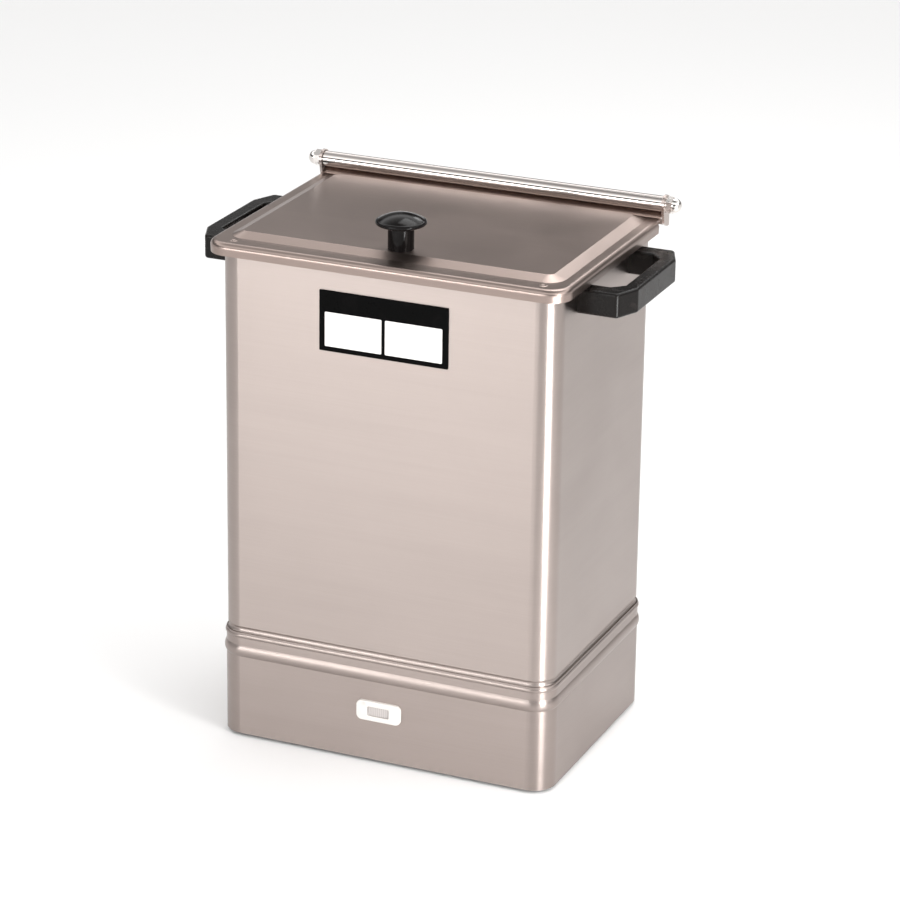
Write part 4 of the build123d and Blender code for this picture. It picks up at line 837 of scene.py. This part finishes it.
@dataclass
class TankInterior:
    """Element, bulb and the lift-out rack; sizes in millimetres."""

    paint: Paintbox
    wires: int = 9
    runners: int = 5
    wire_pitch: float = 32.75
    runner_pitch: float = 44.0
    first_crossing: tuple[float, float] = (-131.0, -88.0)
    grid_z: float = 97.5
    weld_radius: float = 2.3
    weld_flatness: float = 0.45
    weld_segments: tuple[int, int] = (8, 5)

    def dress(self) -> None:
        """Give the pieces in the water their finishes."""
        self.paint.coat_nodes(Finish.SHEATH, "heating_element")
        self.paint.coat_nodes(Finish.WIRE, "thermostat_capillary", "bulb_clips", "rack_grid", "rack_feet",
                              "rack_dividers", "rack_bails")
        self.weld_rack()

    def weld_rack(self) -> None:
        """Put a small weld nugget at each crossing of the rack's grid."""
        mesh = bmesh.new()
        round_steps, high_steps = self.weld_segments
        bmesh.ops.create_uvsphere(mesh, u_segments=round_steps, v_segments=high_steps,
                                  radius=self.weld_radius * MM)
        bmesh.ops.scale(mesh, verts=mesh.verts, vec=(1.0, 1.0, self.weld_flatness))
        first_x, first_y = self.first_crossing
        seats = [seat(self.wire_pitch * wire + first_x, self.runner_pitch * runner + first_y, self.grid_z)
                 for wire in range(self.wires) for runner in range(self.runners)]
        welds = piece("rack_welds", repeat(mesh, seats), "pack_rack")
        self.paint.coat(welds, Finish.WIRE)


# ---- studio --------------------------------------------------------------------------
@dataclass(frozen=True)
class Softbox:
    """A rectangular soft light that the camera does not see, in metres and watts."""

    name: str
    place: Triple
    aim: Triple
    size: tuple[float, float]
    watts: float

    def hang(self) -> None:
        """Hang the light and turn it to its aim."""
        data = bpy.data.lights.new(self.name, "AREA")
        data.shape = "RECTANGLE"
        data.size, data.size_y = self.size
        data.energy = self.watts
        lamp = bpy.data.objects.new(self.name, data)
        bpy.context.scene.collection.objects.link(lamp)
        lamp.location = self.place
        lamp.visible_camera = False
        lamp.rotation_euler = (Vector(self.aim) - Vector(self.place)).to_track_quat("-Z", "Y").to_euler()


@dataclass
class Studio:
    """Floor, soft lights and the camera."""

    lens_mm: float = 145.74
    sensor_mm: float = 36.0
    target: Triple = (0.011716, 0.0, 0.228929)
    distance: float = 2.84417
    azimuth: float = 23.22
    elevation: float = 20.686
    roll: float = 0.7905
    floor_half: float = 9.0
    floor_colour: Colour = (0.86, 0.855, 0.85)
    floor_roughness: float = 0.9
    floor_shine: float = 0.2
    room_strength: float = 2.7
    room_levels: tuple[tuple[float, float], ...] = (
        (0.0, 0.44), (0.20, 0.02), (0.45, 0.02), (0.60, 0.96), (0.80, 0.44), (1.0, 0.02))
    softboxes: tuple[Softbox, ...] = (
        Softbox("front_left", (-0.90, -2.10, 0.62), (0.0, 0.0, 0.40), (0.7, 0.5), 12.0),
        Softbox("front_right", (-0.25, -2.30, 0.70), (0.0, 0.0, 0.30), (0.6, 0.7), 6.6),
        Softbox("corner_strip", (0.80, -0.42, 0.42), (0.13, -0.10, 0.20), (0.14, 0.8), 3.9),
        Softbox("corner_foot", (0.62, -0.48, 0.16), (0.13, -0.10, 0.06), (0.16, 0.3), 2.8),
        Softbox("right_fill", (1.50, 0.00, 0.95), (0.0, 0.0, 0.40), (0.8, 0.5), 2.6),
        Softbox("rear_left", (-0.95, 1.30, 0.95), (-0.10, 0.0, 0.41), (0.7, 0.8), 0.3),
        Softbox("rear_low", (-0.05, 1.50, 1.30), (0.0, 0.0, 0.41), (0.3, 0.3), 1.3),
        Softbox("rear_top", (0.10, 0.70, 1.80), (0.10, 0.70, 0.0), (0.8, 0.8), 9.0))

    def build(self) -> None:
        """Set up everything round the heater."""
        self.lay_floor()
        self.light_room()
        for softbox in self.softboxes:
            softbox.hang()
        self.set_camera()

    def lay_floor(self) -> None:
        """Lay the pale floor."""
        mesh = bmesh.new()
        bmesh.ops.create_grid(mesh, x_segments=1, y_segments=1, size=self.floor_half)
        data = bpy.data.meshes.new("floor")
        mesh.to_mesh(data)
        mesh.free()
        floor = bpy.data.objects.new("floor", data)
        bpy.context.scene.collection.objects.link(floor)
        sheet = Sheet("studio_floor")
        sheet.set(Base_Color=self.floor_colour, Roughness=self.floor_roughness,
                  Specular_IOR_Level=self.floor_shine)
        data.materials.append(sheet.material)

    def light_room(self) -> None:
        """Light the room by height: mid at the horizon, dark above it, then bright, and dark overhead."""
        world = bpy.data.worlds.new("room")
        bpy.context.scene.world = world
        world.use_nodes = True
        tree = world.node_tree
        background = tree.nodes["Background"]
        place = tree.nodes.new("ShaderNodeTexCoord")
        split = tree.nodes.new("ShaderNodeSeparateXYZ")
        ramp = tree.nodes.new("ShaderNodeValToRGB")
        tree.links.new(place.outputs["Generated"], split.inputs["Vector"])
        tree.links.new(split.outputs["Z"], ramp.inputs["Fac"])
        tree.links.new(ramp.outputs["Color"], background.inputs["Color"])
        for at, level in self.room_levels[1:-1]:
            ramp.color_ramp.elements.new(at).color = (level, level, level, 1.0)
        for index in (0, -1):
            at, level = self.room_levels[index]
            ramp.color_ramp.elements[index].position = at
            ramp.color_ramp.elements[index].color = (level, level, level, 1.0)
        background.inputs["Strength"].default_value = self.room_strength

    def set_camera(self) -> None:
        """Put the camera where the photograph was taken."""
        azimuth, elevation, roll = (math.radians(turn) for turn in (self.azimuth, self.elevation, self.roll))
        back = Vector((math.sin(azimuth) * math.cos(elevation), -math.cos(azimuth) * math.cos(elevation),
                       math.sin(elevation)))
        level = Vector((math.cos(azimuth), math.sin(azimuth), 0.0))
        upright = back.cross(level)
        right = math.cos(roll) * level + math.sin(roll) * upright
        up = math.cos(roll) * upright - math.sin(roll) * level
        data = bpy.data.cameras.new("camera")
        data.lens = self.lens_mm
        data.sensor_width = self.sensor_mm
        camera = bpy.data.objects.new("camera", data)
        bpy.context.scene.collection.objects.link(camera)
        facing = Matrix((right, up, back)).transposed().to_4x4()
        camera.matrix_world = Matrix.Translation(Vector(self.target) + self.distance * back) @ facing
        bpy.context.scene.camera = camera


def main() -> None:
    """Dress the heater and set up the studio."""
    logging.basicConfig(level=logging.INFO, format="%(message)s")
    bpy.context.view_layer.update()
    paint = Paintbox()
    for part in (TankBody(paint), Lid(paint), SideHandles(paint), PilotLamp(paint), BaseUnderside(paint),
                 TankInterior(paint)):
        part.dress()
    Studio().build()
    bpy.context.scene.view_settings.view_transform = "Standard"


if __name__ == "__main__":
    main()
